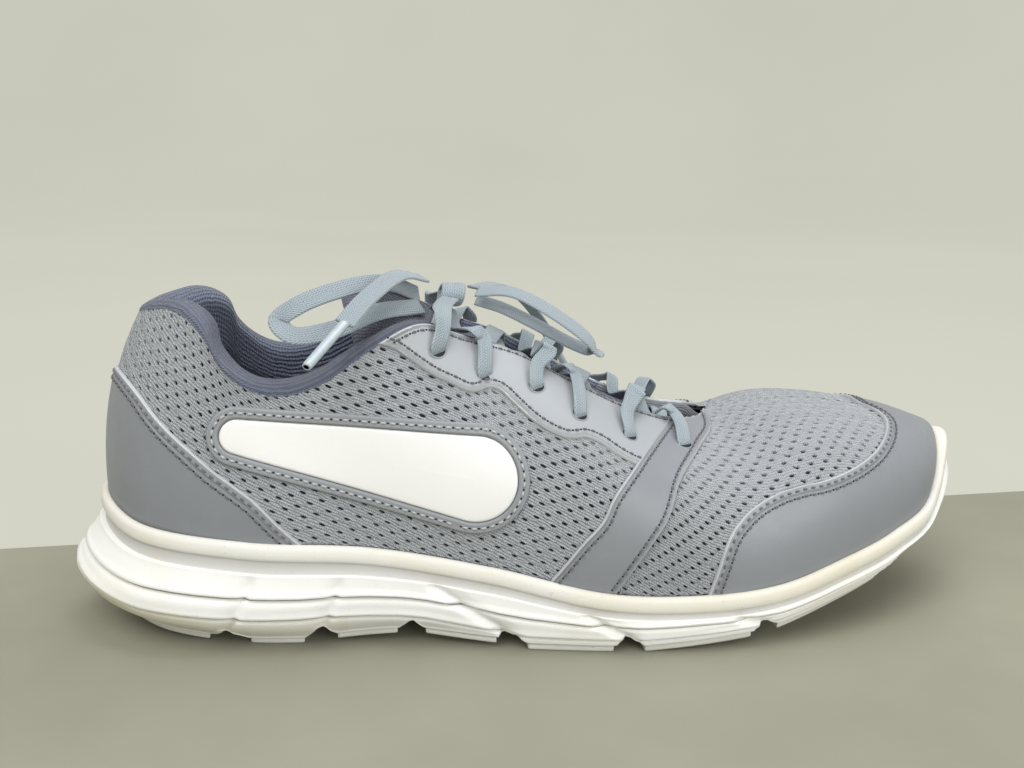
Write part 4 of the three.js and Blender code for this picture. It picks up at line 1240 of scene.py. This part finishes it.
def columns(edge, base, rest=14, marks=EDGE_MARKS):
    """Grid of stations and heights from each edge point to its base point: fine near the edge."""
    f = np.linspace(0, 1, 50)
    qt = edge[:, None] * (1 - f[None, :, None]) + base[:, None] * f[None, :, None]
    p = skin(qt[..., 0], qt[..., 1])
    s = travelled(p, 1)
    marks = np.array(marks)
    out = []
    for n in range(len(edge)):
        long = s[n, -1]
        near = marks * min(1, long / (marks[-1] * 1.3))
        want = np.r_[near, np.linspace(near[-1], long, rest + 1)[1:]]
        share = np.interp(want, s[n], f)[:, None]
        out.append(edge[n] * (1 - share) + base[n] * share)
    return np.array(out)


def panel(name, grid, border, mats, nodes, welt=WELT, lift=0.0, thick=1.15, flip=False, body="shoe"):
    """Raised sheet on a grid of stations and heights; border is the polyline of its free edge. The first
    material covers the sheet, the second the welt along the border and the third its cut edge."""
    q, t = grid[..., 0], grid[..., 1]
    base = skin(q, t)
    n = normal(q, t)
    d = nearest(base.reshape(-1, 3), border).reshape(q.shape)
    high = 0.15 + (thick - 0.15) * (1 - (1 - np.clip(d / 0.55, 0, 1)) ** 2.2) + lift
    groove = 0.42 * np.exp(-(((d - welt) / 0.22) ** 2)) if welt else 0
    high = high - groove + (0.12 * smooth_step(d, welt, welt - 0.5) if welt else 0)
    outer = base + n * high[..., None]
    inner = base + n * 0.02
    verts, faces = slab(outer, inner)
    if flip:
        faces = faces[:, ::-1]
    middle = d.reshape(-1)[faces[:, :] % d.size].mean(1)
    # faces within 0.5 mm of the border take the lighter cut-edge grey, partly a painted highlight
    parts = (middle < welt).astype(int) + (middle < 0.5)
    return make(name, verts, faces, mats, body, nodes, parts=parts)


def inset(line, d):
    """The line of stations and heights moved d to its left on the skin, seen from outside."""
    p, n = skin_of(line), normal(line[:, 0], line[:, 1])
    along = unit(np.gradient(p, axis=0))
    want = np.cross(n, along) * d
    e = 1e-3
    dq = (skin(line[:, 0] + e, line[:, 1]) - p) / e
    dt = (p - skin(line[:, 0], line[:, 1] - e)) / e
    a, b, c = (dq * dq).sum(1), (dq * dt).sum(1), (dt * dt).sum(1)
    u, v = (dq * want).sum(1), (dt * want).sum(1)
    det = a * c - b * b
    moved = line + np.stack([(c * u - b * v) / det, (a * v - b * u) / det], -1)
    moved[:, 1] = np.clip(moved[:, 1], 0, 1)
    return moved


STITCH_PITCH, STITCH_LONG, STITCH_R = 2.7, 1.6, 0.36


class Stitching:
    """Gathers the stitches of one seam group into one mesh, and flat dark ovals of painted shade at their
    needle holes into another.
    """

    def __init__(self):
        self.verts, self.faces, self.pit_verts, self.shade_disc_faces = [], [], [], []

    def add(self, points, normals):
        s = travelled(points)
        at = lambda w: np.stack([np.interp(w, s, points[:, c]) for c in range(3)], -1)
        up = lambda w: unit(np.stack([np.interp(w, s, normals[:, c]) for c in range(3)], -1))
        count = int(s[-1] / STITCH_PITCH)
        ring = np.radians(60 * np.arange(6))
        profile = [
            (-1.0, 0.35, -0.25), (-0.8, 0.8, 0.05), (-0.4, 1.0, 0.16), (0.0, 1.0, 0.2), (0.4, 1.0, 0.16),
            (0.8, 0.8, 0.05), (1.0, 0.35, -0.25),
        ]
        for i in range(count):
            mid = (i + 0.5) * STITCH_PITCH
            where = mid + np.array([f for f, _, _ in profile]) * STITCH_LONG / 2
            p, n = at(where), up(where)
            along = unit(np.gradient(p, axis=0))
            side = np.cross(along, n)
            start = len(self.verts) * 42
            rows = []
            for j, (_, r, lift) in enumerate(profile):
                turn = side[j] * np.cos(ring)[:, None] + 0.75 * n[j] * np.sin(ring)[:, None]
                rows.append(p[j] + n[j] * (lift + 0.1) + STITCH_R * r * turn)
            self.verts.append(np.concatenate(rows))
            for j in range(6):
                a = start + j * 6
                self.faces += [(a + m, a + (m + 1) % 6, a + 6 + (m + 1) % 6, a + 6 + m) for m in range(6)]
            self.faces.append(tuple(start + m for m in range(5, -1, -1)))
            self.faces.append(tuple(start + 36 + m for m in range(6)))
            # a flat near-black oval just above the skin at each needle hole: painted shade in the hole
            w = np.array([i * STITCH_PITCH])
            p, n, ahead = at(w)[0], up(w)[0], at(w + 0.2)[0]
            along = unit(ahead - p)
            side = np.cross(along, n)
            hole = len(self.pit_verts) * 6
            oval = 0.42 * along * np.cos(ring)[:, None] + 0.34 * side * np.sin(ring)[:, None]
            self.pit_verts.append(p + n * 0.05 + oval)
            self.shade_disc_faces.append(tuple(hole + m for m in range(6)))

    def along(self, line, high):
        self.add(skin_of(line) + normal(line[:, 0], line[:, 1]) * high, normal(line[:, 0], line[:, 1]))

    def finish(self, name, material="thread", body="shoe"):
        make(name, np.concatenate(self.verts), self.faces, M[material], body)
        shade_disc_points = np.concatenate(self.pit_verts)
        make(name + "_needle_hole_shade", shade_disc_points, self.shade_disc_faces, M["pit"], body, smooth=False)


def heel_wrap():
    side = edge_line(HEEL_EDGE, step=0.8)
    edge = np.concatenate([side, (side * [-1, 1])[-2::-1]])
    base = np.stack([edge[:, 0], np.zeros(len(edge))], -1)
    grid = columns(edge, base)
    border = skin_of(edge)
    panel("heel_wrap", grid, border, [M["overlay"], M["welt"], M["edge"]], ["heel_overlay"])
    rows = Stitching()
    for d in (1.45, 3.55):
        rows.along(inset(edge[2:-2], d), 1.15)
    rows.finish("heel_wrap_stitches")
    return edge


def toe_wrap():
    side = edge_line(TOE_EDGE, step=0.8)
    lateral = side[side[:, 1] < 0.999]
    ridge = np.linspace(TOE_EDGE[-1][0], LAST, 16)
    border = np.concatenate([skin_of(lateral), skin_of(on_side("medial", lateral))[::-1]])
    edge = np.concatenate([lateral, np.stack([ridge, np.ones(16)], -1)])
    outer_half = columns(edge, np.stack([edge[:, 0], np.zeros(len(edge))], -1), rest=24)
    inner_half = outer_half[::-1].copy()
    inner_half[..., 0] = 2 * LAST - inner_half[..., 0]
    grid = np.concatenate([outer_half, inner_half[1:]])
    panel("toe_wrap", grid, border, [M["overlay"], M["welt"], M["edge"]], ["toe_cap"])
    rows = Stitching()
    for d in (1.45, 3.4):
        a = inset(lateral[1:], -d)
        b = inset(on_side("medial", lateral[1:]), d)[::-1]
        join = np.concatenate([skin_of(a), skin_of(b)])
        n = np.concatenate([normal(a[:, 0], a[:, 1]), normal(b[:, 0], b[:, 1])])
        rows.add(join + n * 1.15, n)
    rows.finish("toe_wrap_stitches")


def eyelets(side):
    """A pressed rim round each lace hole, and a flat near-black disc inside it: painted shade for the hole.
    """
    turn = np.radians(15 * np.arange(24))[:, None]
    verts, faces, parts = [], [], []
    for row, (k, t, _) in enumerate(EYELETS):
        q = station(side, k)
        n = normal(q, t)
        rise = unit(skin(q, t + 0.02) - skin(q, t - 0.02))
        along = np.cross(rise, n)
        base = 1.42 if row == 5 else 1.17
        start = row * 96
        for r, h in ((3.1, -0.12), (2.9, 0.12), (2.65, 0.14), (2.45, 0.02)):
            verts.append(skin(q, t) + n * (base + h) + r * (along * np.cos(turn) + 0.9 * rise * np.sin(turn)))
        for ring in range(3):
            a = start + ring * 24
            faces += [(a + i, a + (i + 1) % 24, a + 24 + (i + 1) % 24, a + 24 + i) for i in range(24)]
            parts += [0] * 24
        # the innermost ring is closed by a flat near-black disc: painted shade for the eyelet hole
        faces.append(tuple(start + 72 + i for i in range(24)))
        parts.append(1)
    make(f"eyelet_rims_{side}", np.concatenate(verts), faces, [M["welt"], M["pit"]], parts=parts)


def eyestay(side):
    edge = edge_line(EYE_EDGE, side, step=0.8)
    tail = np.linspace(0.515, 1, 26)
    front = on_side(side, np.stack([band_rear(tail) + 0.16, tail], -1))
    edge = np.concatenate([edge, front[1:]])
    count = len(edge)
    s = travelled(skin_of(edge))
    top_k = np.interp(s / s[-1], [0, 0.3, 0.6, 1], [7.18, 9.0, 11.0, 13.2])
    base = on_side(side, np.stack([top_k, np.ones(count)], -1))
    grid = columns(edge, base, rest=20)
    throat = on_side(side, np.stack([np.linspace(7.18, 13.2, 160), np.ones(160)], -1))
    border = np.concatenate([skin_of(edge), skin_of(throat)])
    mats = [M["eyestay"], M["welt"], M["edge"]]
    panel(f"eyestay_film_{side}", grid, border, mats, [f"eyestay_{side}"],
          welt=1.3, flip=side == "lateral")
    rows = Stitching()
    sign = 1 if side == "lateral" else -1
    wavy = edge_line(EYE_EDGE, side, step=0.8)
    rows.along(inset(wavy[3:], sign * 2.4), 1.15)
    rows.along(inset(throat[6:], -sign * 2.2), 1.15)
    rows.finish(f"eyestay_stitches_{side}")
    eyelets(side)


def band(side):
    t = np.linspace(0, 1, 110)
    rear = on_side(side, np.stack([band_rear(t), t], -1))
    front = on_side(side, np.stack([band_front(t), t], -1))
    middle = 0.5 * (rear + front)
    a = columns(rear, middle, rest=6)
    b = columns(front, middle, rest=6)
    grid = np.concatenate([a, b[:, -2::-1]], axis=1)
    top = on_side(side, np.stack([np.linspace(band_rear(1.0), band_front(1.0), 30), np.ones(30)], -1))
    border = np.concatenate([skin_of(rear), skin_of(front), skin_of(top)])
    mats = [M["overlay"], M["welt"], M["edge"]]
    panel(f"forefoot_film_{side}", grid, border, mats, [f"forefoot_band_{side}"],
          welt=1.1, lift=0.25, flip=side == "medial")
    rows = Stitching()
    sign = 1 if side == "lateral" else -1
    rows.along(inset(edge_line(BAND_REAR, side)[2:-3], -sign * 2.1), 1.4)
    rows.along(inset(edge_line(BAND_FRONT, side)[2:-3], sign * 2.0), 1.4)
    rows.finish(f"forefoot_stitches_{side}")


def side_panel(side):
    flip = side == "medial"
    def even(grow, n):
        line = panel_outline(grow)
        closed = np.concatenate([line, line[:1]])
        f = np.linspace(0, 1, n + 1)[:-1] * len(line)
        return np.stack([np.interp(f, np.arange(len(closed)), closed[:, c]) for c in (0, 1)], -1)

    n = 260
    marks = [(0.0, 0.15), (-0.15, 0.7), (-0.4, 1.0), (-0.9, 1.08), (-2.2, 1.1)]
    loops = [off(*to_skin(even(g, n), side).T, np.full(n, h)) for g, h in marks]
    (x0, z0, _), (x1, z1, _) = TAIL, HEAD
    spine = even(-2.2, n)
    long = np.array([x1 - x0, z1 - z0])
    w = np.clip(((spine - [x0, z0]) @ long) / (long @ long), 0, 1)
    heart = np.array([x0, z0]) + w[:, None] * long
    for share in (0.35, 0.7, 1.0):
        points = spine * (1 - share) + heart * share
        loops.append(off(*to_skin(points, side).T, np.full(n, 1.12)))
    grid = np.stack(loops, 1)
    faces = grid_faces(n, len(loops), close=True, flip=not flip)
    first, _, kept = weld(grid.reshape(-1, 3), faces, 0.02)
    make(f"side_panel_film_{side}", grid.reshape(-1, 3)[first], kept, M["panel"],
         nodes=[f"side_panel_{side}"])
    marks = [
        (0.05, 0.2), (0.2, 0.9), (0.45, 1.3), (0.8, 1.38), (1.6, 1.2), (2.5, 1.3), (2.9, 1.38), (3.25, 1.2),
        (3.45, 0.7), (3.55, 0.05),
    ]
    loops = [off(*to_skin(even(g, n), side).T, np.full(n, h)) for g, h in marks]
    grid = np.stack(loops, 1)
    faces = grid_faces(n, len(loops), close=True, flip=flip)
    make(f"side_border_film_{side}", grid.reshape(-1, 3), faces, M["welt"],
         nodes=[f"side_border_{side}"])
    rows = Stitching()
    line = to_skin(even(1.75, n), side)
    rows.along(np.concatenate([line, line[:1]]), 1.2)
    rows.finish(f"side_border_stitches_{side}", "thread_light")


def upper():
    quarter_knit("lateral", ["quarter_mesh"])
    quarter_knit("medial", [])
    vamp_knit(["vamp_mesh"])
    # near-black sheet under the whole upper: painted shade seen through the mesh holes
    hole_shade_layer("mesh_shade_sheet", 0, 2 * LAST, -0.75, M["hole_shade_layer"])
    heel_wrap()
    toe_wrap()
    for side in SIDES:
        eyestay(side)
        band(side)
        side_panel(side)


upper()


# ---- linings, padded collar, tongue and insole -------------------------------------------------------
def ripple(u, v, seed, count=7, low=0.08, high=0.5):
    """Smooth, uneven swelling between about -1 and 1, for u and v in millimetres."""
    rng = np.random.default_rng(seed)
    total = 0
    for _ in range(count):
        turn, size, phase = rng.uniform(0, math.pi), rng.uniform(low, high), rng.uniform(0, 2 * math.pi)
        total = total + np.sin((u * math.cos(turn) + v * math.sin(turn)) * size + phase)
    return total / count * 1.6


def smooth_normals(grid):
    """Normals of a grid, facing out when rows run to the toe and columns up the outer side."""
    return unit(np.cross(np.gradient(grid, axis=0), np.gradient(grid, axis=1)))


def lining_grid(qs, deep):
    """Visible face of the lining, deep inside it by deep: over the padded edge and down to the insole."""
    rows = []
    T, n = skin(qs, 1), normal(qs, 1)
    up = unit(T - skin(qs, 0.99))
    foam = foam_at(qs)
    ridge = smooth_step(fold(qs), 14.1, 15)[:, None]
    far = LINING_AT + foam + 1 - deep
    near = -0.45 + deep
    high = (0.9 + 0.42 * foam + 1 - deep)[:, None]
    under = off(qs, 1, -far)
    for a in np.radians([-28, -14, 0, 14, 30, 47, 65, 83, 101, 119, 136, 152, 166, 180]):
        b = (-(near + far) / 2 + (far - near) / 2 * math.cos(a))[:, None]
        lift = np.sign(math.sin(a)) * abs(math.sin(a)) ** 0.85
        p = T + n * b + up * (0.1 + (high if lift > 0 else 1.6) * lift)
        rows.append(p * (1 - ridge) + under * ridge)
    for t in np.linspace(0.985, 0, 26):
        rows.append(off(qs, t, -padding(qs, t) - 1 + deep))
    floor = rim_point(qs, -LINING_AT - 1 + deep, 0)
    floor[:, 2] = footbed(floor[:, 0]) + 2.2
    low = rows[-1]
    for share in (0.5, 1):
        rows.append(low * (1 - share) + floor * share)
    return np.stack(rows, 1)


def lining(name, first, last, material, nodes):
    qs = np.arange(first, last + 0.01, 0.1)
    face = lining_grid(qs, 0.0)
    along, down = travelled(face, 0), travelled(face, 1)
    k = fold(qs)
    soft = (foam_at(qs) / 5.5)[:, None] * np.exp(-(((down - 9) / 11) ** 2))
    bend = np.exp(-(((k - 4.6) / 1.6) ** 2))[:, None] + 0.35
    puff = 0.3 * ripple(along[:, 5:6], down * 0.6, 3, low=0.1, high=0.42) * soft * bend
    face = face - smooth_normals(face) * puff[..., None]
    back = lining_grid(qs, 0.85)
    verts, faces = slab(face[:, ::-1], back[:, ::-1])
    faces = faces[:, ::-1]
    flat = np.stack([along, down], -1)[:, ::-1].reshape(-1, 2)
    made = make(name, verts, faces, material, nodes=nodes, cloth=np.concatenate([flat, flat]))
    return made


def linings():
    collar = lining("collar_padding", -12, 12, M["lining"], ["collar_lining", "collar_foam"])
    lining("vamp_lining_cloth", 12, 2 * LAST - 12, M["vamp_lining"], ["vamp_lining"])


def smooth_grid(grid, rows, across):
    """A coarse grid of points taken to rows by across smooth ones."""
    fine = np.stack([catmull(grid[:, j], np.linspace(0, 1, rows)) for j in range(grid.shape[1])], 1)
    return np.stack([catmull(fine[i], np.linspace(0, 1, across)) for i in range(rows)], 0)


def tongue():
    fine = smooth_grid(tongue_grid, 150, 90)
    n = smooth_normals(fine)
    along, across = travelled(fine, 0), travelled(fine, 1)
    width = across[:, -1:]
    edge = np.minimum(np.minimum(across, width - across), along)
    roll = np.sqrt(np.clip(1 - (1 - np.clip(edge / 2.6, 0, 1)) ** 2, 0, 1))
    channel = np.exp(-(((np.abs(across - width / 2) - 0.27 * width) / 1.1) ** 2)) * smooth_step(along, 6, 12)
    seam = np.exp(-(((along - 9) / 1.0) ** 2))
    puff = 0.55 * smooth_step(edge, 0, 8) + 0.16 * ripple(along, across, 11, low=0.15, high=0.6)
    puff = puff * smooth_step(along, 60, 25) - 0.5 * channel * smooth_step(along, 80, 40) - 0.45 * seam
    thick = TONGUE_COVER + GAP + TONGUE_FOAM
    middle = -thick / 2
    outer = fine + n * (middle + (thick / 2) * roll + puff * roll)[..., None]
    inner = fine + n * (middle - (thick / 2 + 0.1) * roll)[..., None]
    verts, faces = slab(outer, inner)
    flat = np.stack([along, across], -1).reshape(-1, 2)
    covered = ["tongue_cover", "tongue_foam"]
    pad = make("tongue_padding", verts, faces, M["tongue"], "tongue", covered,
               cloth=np.concatenate([flat, flat]))
    top = -(thick + GAP)
    low = top - TONGUE_LINING
    shrink = 0.3 * (1 - roll)
    outer = fine + n * (top - shrink)[..., None]
    inner = fine + n * (low + shrink)[..., None]
    verts, faces = slab(outer, inner)
    make("tongue_backing", verts, faces, M["tongue"], "tongue", ["tongue_lining"],
         cloth=np.concatenate([flat, flat]))
    row = int(np.argmin(np.abs(along[:, 45] - 9)))
    seam = Stitching()
    seam.add(fine[row, 5:-5] + n[row, 5:-5] * 0.1, n[row, 5:-5])
    seam.finish("tongue_stitches", "thread", "tongue")


def sole_sheet(name, low, high, inset, material, nodes, swell=0.0):
    """Soft sheet that fills the plan outline, low to high over the footbed, with rounded edges."""
    k = LAST * (0.5 - 0.5 * np.cos(np.linspace(0.16, math.pi - 0.12, 190)))
    u = 0.5 - 0.5 * np.cos(np.linspace(0, math.pi, 64))
    a, b = rim_point(k, -inset, 0), rim_point(2 * LAST - k, -inset, 0)
    plan = a[:, None] * (1 - u[None, :, None]) + b[:, None] * u[None, :, None]
    outline = np.concatenate([a, b])
    away = nearest(plan.reshape(-1, 3), outline).reshape(plan.shape[:2])
    roll = np.sqrt(np.clip(1 - (1 - np.clip(away / 1.3, 0.02, 1)) ** 2, 0, 1))
    base = footbed(plan[..., 0])
    wave = swell * ripple(plan[..., 0], plan[..., 1], 5, low=0.05, high=0.22) * roll
    top, bottom = plan.copy(), plan.copy()
    top[..., 2] = base + (low + high) / 2 + (high - low) / 2 * roll + wave
    bottom[..., 2] = base + (low + high) / 2 - (high - low) / 2 * roll
    verts, faces = slab(top, bottom)
    return make(name, verts, faces, material, "insole", nodes,
                cloth=np.concatenate([plan.reshape(-1, 3)[:, :2]] * 2))


def insole():
    inside = LINING_AT + LINING + 0.5
    foam = sole_sheet("insole_cushion", 2.2, 5.9, inside, M["insole_foam"], ["insole_foam"])
    sole_sheet("insole_cover", 6.2, 7.0, inside, M["sock"], ["insole_topcloth"], 0.12)


linings()
tongue()
insole()


# ---- midsole and outsole -----------------------------------------------------------------------------
# darker foam for the faces along the groove lines: painted shade in the grooves
M["groove"] = foam_material("midsole_groove_shade", (0.36, 0.35, 0.335), (0.32, 0.29, 0.24), 0.75, dirt=0.4)
M["aged"] = foam_material("midsole_heel", (0.80, 0.785, 0.74), (0.70, 0.655, 0.52), 0.7, 0.4, 0.9, 0.45)
# lines that run along the side, as shares of the height from the grey band to the bottom edge
LINE_HIGH = [[0, 0.26], [2.3, 0.31], [5, 0.31], [6.6, 0.32], [8.2, 0.39], [9.4, 0.33], [12, 0.24], [22, 0.26]]
LINE_LOW = [[0, 0.42], [2.3, 0.6], [5, 0.6], [6.6, 0.68], [8.2, 0.84], [9.6, 0.8], [12, 0.76], [22, 0.76]]
# slanting grooves: x at the grey band, x and z where they meet a notch, depth
SLANTS = [(-41, -18, 6.5, 2.2), (4, 18, 6, 2.2), (50, 60.5, 9, 1.6), (-91, -99.5, 8, 1.2), (-66, -71, 9, 1.1)]


def pad_line(x):
    rows = [[x0, z0] for x0, _, z0, *_ in PADS] + [[x1, z1] for _, x1, _, z1, *_ in PADS]
    return read(sorted([[-160, 7.6], *rows, [150, 33]]), x)


def bed(x):
    """Height of the foam's underside: flat over each pad, with a notch after it."""
    rows = [[-160, 7.6 + PAD + GAP]]
    for n, (x0, x1, z0, z1, gx, gz) in enumerate(PADS):
        rows += [[x0 - 0.6, z0 + PAD + GAP], [x1 + 0.6, z1 + PAD + GAP]]
        if n < len(PADS) - 1:
            rows += [[gx - 0.9, gz], [gx + 0.9, gz]]
    return read([*rows, [150, 33 + PAD + GAP]], x)


TIER = np.array([0, 0.015, 0.035, 0.06, 0.1, 0.17, 0.3, 0.45, 0.6, 0.75, 0.86, 0.92, 0.96, 0.98])


def wall_base(k, z, top, low, tip):
    """Outward offset of the foam's side at height z: straight runs between a few marks, blurred over 3 mm."""
    edge, wide, height = np.moveaxis(side_at(k), -1, 0)
    height = np.clip(height, low + 0.25 * (top - low), top - 0.2 * (top - low))
    upper = height * 0.4 + top * 0.6
    out = np.zeros_like(z)
    for i in range(len(k)):
        xs = [low[i], low[i] * 0.55 + height[i] * 0.45, height[i], upper[i], top[i]]
        ds = [
            edge[i], edge[i] * 0.3 + wide[i] * 0.7, wide[i], wide[i] * 0.45 + 2.1 + tip[i] / 2, tip[i] + 3.8,
        ]
        for shift in (-1.8, -1.2, -0.6, 0, 0.6, 1.2, 1.8):
            out[i] += np.interp(z[i] + shift, xs, ds) / 7
    return out


def midsole():
    count = 880
    q = np.linspace(0, 2 * LAST, count + 1)[:-1]
    k = fold(q)
    F, n = feather(q), outward(q)
    tip = 3.9 * np.clip((k - 20) / 2, 0, 1) ** 2
    edge = side_at(k)[:, 0]
    low = pad_line(F[:, 0]) + PAD + GAP
    g = np.clip((F[:, 2] - low) / 32, 0.45, 1)
    top = F[:, 2] - 4.9 - 4.1 * g
    bottom = bed(F[:, 0] + n[:, 0] * edge)
    bumper = 2.2 * smooth_step(k, 20.6, 22)
    rim = [
        (0.3, 0.0), (1.5, 0.35), (2.3, 0.2), (2.9, -0.3), (3.25, -1.2), (3.4, -2.4), (3.4, -3.6),
        (3.15, -4.25), (2.7, -4.6),
    ]
    rows_d, rows_z, kinds = [], [], []
    for d, z in rim:
        rows_d.append(d + tip * np.clip((d - 1) / 1.6, 0, 1))
        near_top = np.clip((d - 0.3) / 1.2, 0, 1) * np.clip(1 + z / 4.5, 0, 1)
        rows_z.append(F[:, 2] - 0.1 + z + bumper * near_top)
        kinds.append(0)
    # rows of the band under the rim, in the grey foam: painted shade of the undercut
    for share, d in ((0.02, 2.3), (0.12, 2.25), (0.5, 2.3), (0.88, 2.35), (0.97, 2.5)):
        rows_d.append(d + tip)
        rows_z.append(F[:, 2] - 4.9 - 4.1 * g * share)
        kinds.append(1)
    f1, f2 = read(LINE_HIGH, k), read(LINE_LOW, k)
    drop = top - low
    levels = [(0 * k, f1), (f1, f2), (f2, 0 * k + 1)]
    z = np.concatenate([(a + (b - a) * TIER[:, None]) for a, b in levels])
    z = (top - drop * z).T
    last = z.shape[1]
    z = np.maximum(z, (bottom[:, None] + 0.9 + 0.012 * (last - np.arange(last))[None]))
    z = np.minimum(z, top[:, None] + 0.3)
    d = wall_base(k, z, top, low, tip)
    share = (top[:, None] - z) / drop[:, None]
    scale = np.clip(drop / 16, 0.35, 1)[:, None]
    for f, depth, wide in ((f1, 1.5, 0.5), (f2, 1.5, 0.5)):
        far = (share - f[:, None]) * drop[:, None]
        lip = 0.8 * scale * np.exp(-(((far + 1.05) / 0.7) ** 2))
        d = d - scale * depth * np.exp(-((far / wide) ** 2)) + lip
    for f, first in ((0.43, 11.6), (0.6, 13)):
        far = (share - f) * drop[:, None]
        d = d - 0.5 * smooth_step(k, first, first + 1)[:, None] * np.exp(-((far / 0.35) ** 2))
    x = F[:, :1] + n[:, :1] * d
    for x0, x1, z1, depth in SLANTS:
        z0 = np.interp(x0, F[:count // 2, 0], top[:count // 2])
        long = math.hypot(x1 - x0, z1 - z0)
        ux, uz = (x1 - x0) / long, (z1 - z0) / long
        along = (x - x0) * ux + (z - z0) * uz
        far = -(x - x0) * uz + (z - z0) * ux
        beside = far - 1.6 * np.sign(x1 - x0)
        cut = np.clip(1 - np.abs(far) / 1.7, 0, 1) + 0.35 * np.clip(1 - np.abs(beside) / 2.6, 0, 1)
        d = d - depth * cut * smooth_step(along, -1, 4) * smooth_step(along, long + 6, long)
    for j in range(last):
        rows_d.append(d[:, j])
        rows_z.append(z[:, j])
        # the first three rows of the lower two tiers lie in the groove lines and take the darker foam:
        # painted shade
        groove = j >= len(TIER) and j % len(TIER) < 3
        kinds.append(4 if groove else 2 if j < 2 * len(TIER) else 3)
    for inset_by, lift in ((0.0, 0.65), (0.2, 0.3), (0.55, 0.08), (1.1, 0.0)):
        rows_d.append(d[:, -1] - inset_by)
        rows_z.append(bottom + lift)
        kinds.append(3)
    rows_d, rows_z = np.array(rows_d), np.array(rows_z)
    ring = F[None] + n[None] * rows_d[..., None]
    ring[..., 2] = rows_z
    ring[-1, :, 2] = bed(ring[-1, :, 0])
    cup = rim_point(q, 0.3, 0)
    cup[:, 2] = footbed(cup[:, 0])
    ring = np.concatenate([cup[None], ring])
    kinds = [0, *kinds]
    verts = [ring.reshape(-1, 3)]
    levels = len(ring)
    faces, parts = [], []
    m = np.arange(count)
    nxt = (m + 1) % count
    for r in range(levels - 1):
        a, b = r * count, (r + 1) * count
        faces.append(np.stack([b + m, b + nxt, a + nxt, a + m], -1))
        kind = np.full(count, kinds[r + 1])
        if kinds[r + 1] == 3:
            kind = np.where(k < 5.6, 3, 2)
        parts.append(kind)
    start = levels * count
    across = 22
    half = count // 2
    for base, height, down in ((0, footbed, False), (levels - 1, bed, True)):
        a = ring[base][: half + 1]
        b = ring[base][np.r_[0, np.arange(count - 1, half - 1, -1)]]
        u = np.linspace(0, 1, across)
        deck = a[:, None] * (1 - u[None, :, None]) + b[:, None] * u[None, :, None]
        deck[..., 2] = height(deck[..., 0])
        verts.append(deck.reshape(-1, 3))
        f = grid_faces(half + 1, across, start, flip=down)
        faces.append(f)
        parts.append(np.full(len(f), 2))
        start += deck.shape[0] * across
    verts, faces, parts = np.concatenate(verts), np.concatenate(faces), np.concatenate(parts)
    first, source, kept = weld(verts, faces, 0.002)
    mats = [M[part] for part in ("rim", "band", "foam", "aged", "groove")]
    make("midsole_foam", verts[first], kept, mats, nodes=["midsole"],
         parts=parts[source].tolist())


def outsole():
    q = np.linspace(0, 2 * LAST, 881)[:-1]
    e = side_at(fold(q))[:, 0] - 0.8
    plan = feather(q) + outward(q) * e[:, None]
    outer = plan[: 441]
    inner = np.concatenate([plan[:1], plan[:439:-1]])
    outer_y = lambda x: np.interp(x, *outer[np.argsort(outer[:, 0])][:, :2].T)
    inner_y = lambda x: np.interp(x, *inner[np.argsort(inner[:, 0])][:, :2].T)
    for number, (x0, x1, z0, z1, *_) in enumerate(PADS):
        m = int((x1 - x0) / 0.6)
        x = np.linspace(x0, x1, m)
        u = 0.5 - 0.5 * np.cos(np.linspace(0, math.pi, 110))
        a, b = outer_y(x)[:, None], inner_y(x)[:, None]
        y = a + (b - a) * u[None]
        x = np.broadcast_to(x[:, None], y.shape)
        under = z0 + (z1 - z0) * (x - x0) / (x1 - x0)
        side = np.minimum(np.minimum(y - a, b - y), np.minimum(x - x0, x1 - x))
        chevron = np.abs(np.mod(x + 0.55 * np.abs(y - (a + b) / 2), 6.5) - 3.25)
        tread = 0.9 * smooth_step(1.0 - chevron, 0, 0.5) * smooth_step(side, 3.0, 4.0)
        moat = 0.6 * np.exp(-(((side - 2.3) / 0.35) ** 2))
        chamfer = 0.45 * (1 - np.clip(side / 0.5, 0, 1))
        low = np.stack([x, y, under + tread + moat + chamfer], -1)
        high = np.stack([x, y, under + PAD], -1)
        verts, faces = slab(high, low)
        make(f"outsole_tread_{number + 1}", verts, faces, M["rubber"],
             nodes=[f"outsole_pad_{number + 1}"])


midsole()
outsole()


# ---- what stays as built in CAD ------------------------------------------------------------------------
def keep(node, material, slot):
    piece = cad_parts[node]
    piece.data.materials.clear()
    piece.data.materials.append(material)


keep("strobel_board", M["stiffener"], "board")
keep("heel_counter", M["stiffener"], "stiffener")
keep("toe_puff", M["stiffener"], "stiffener")
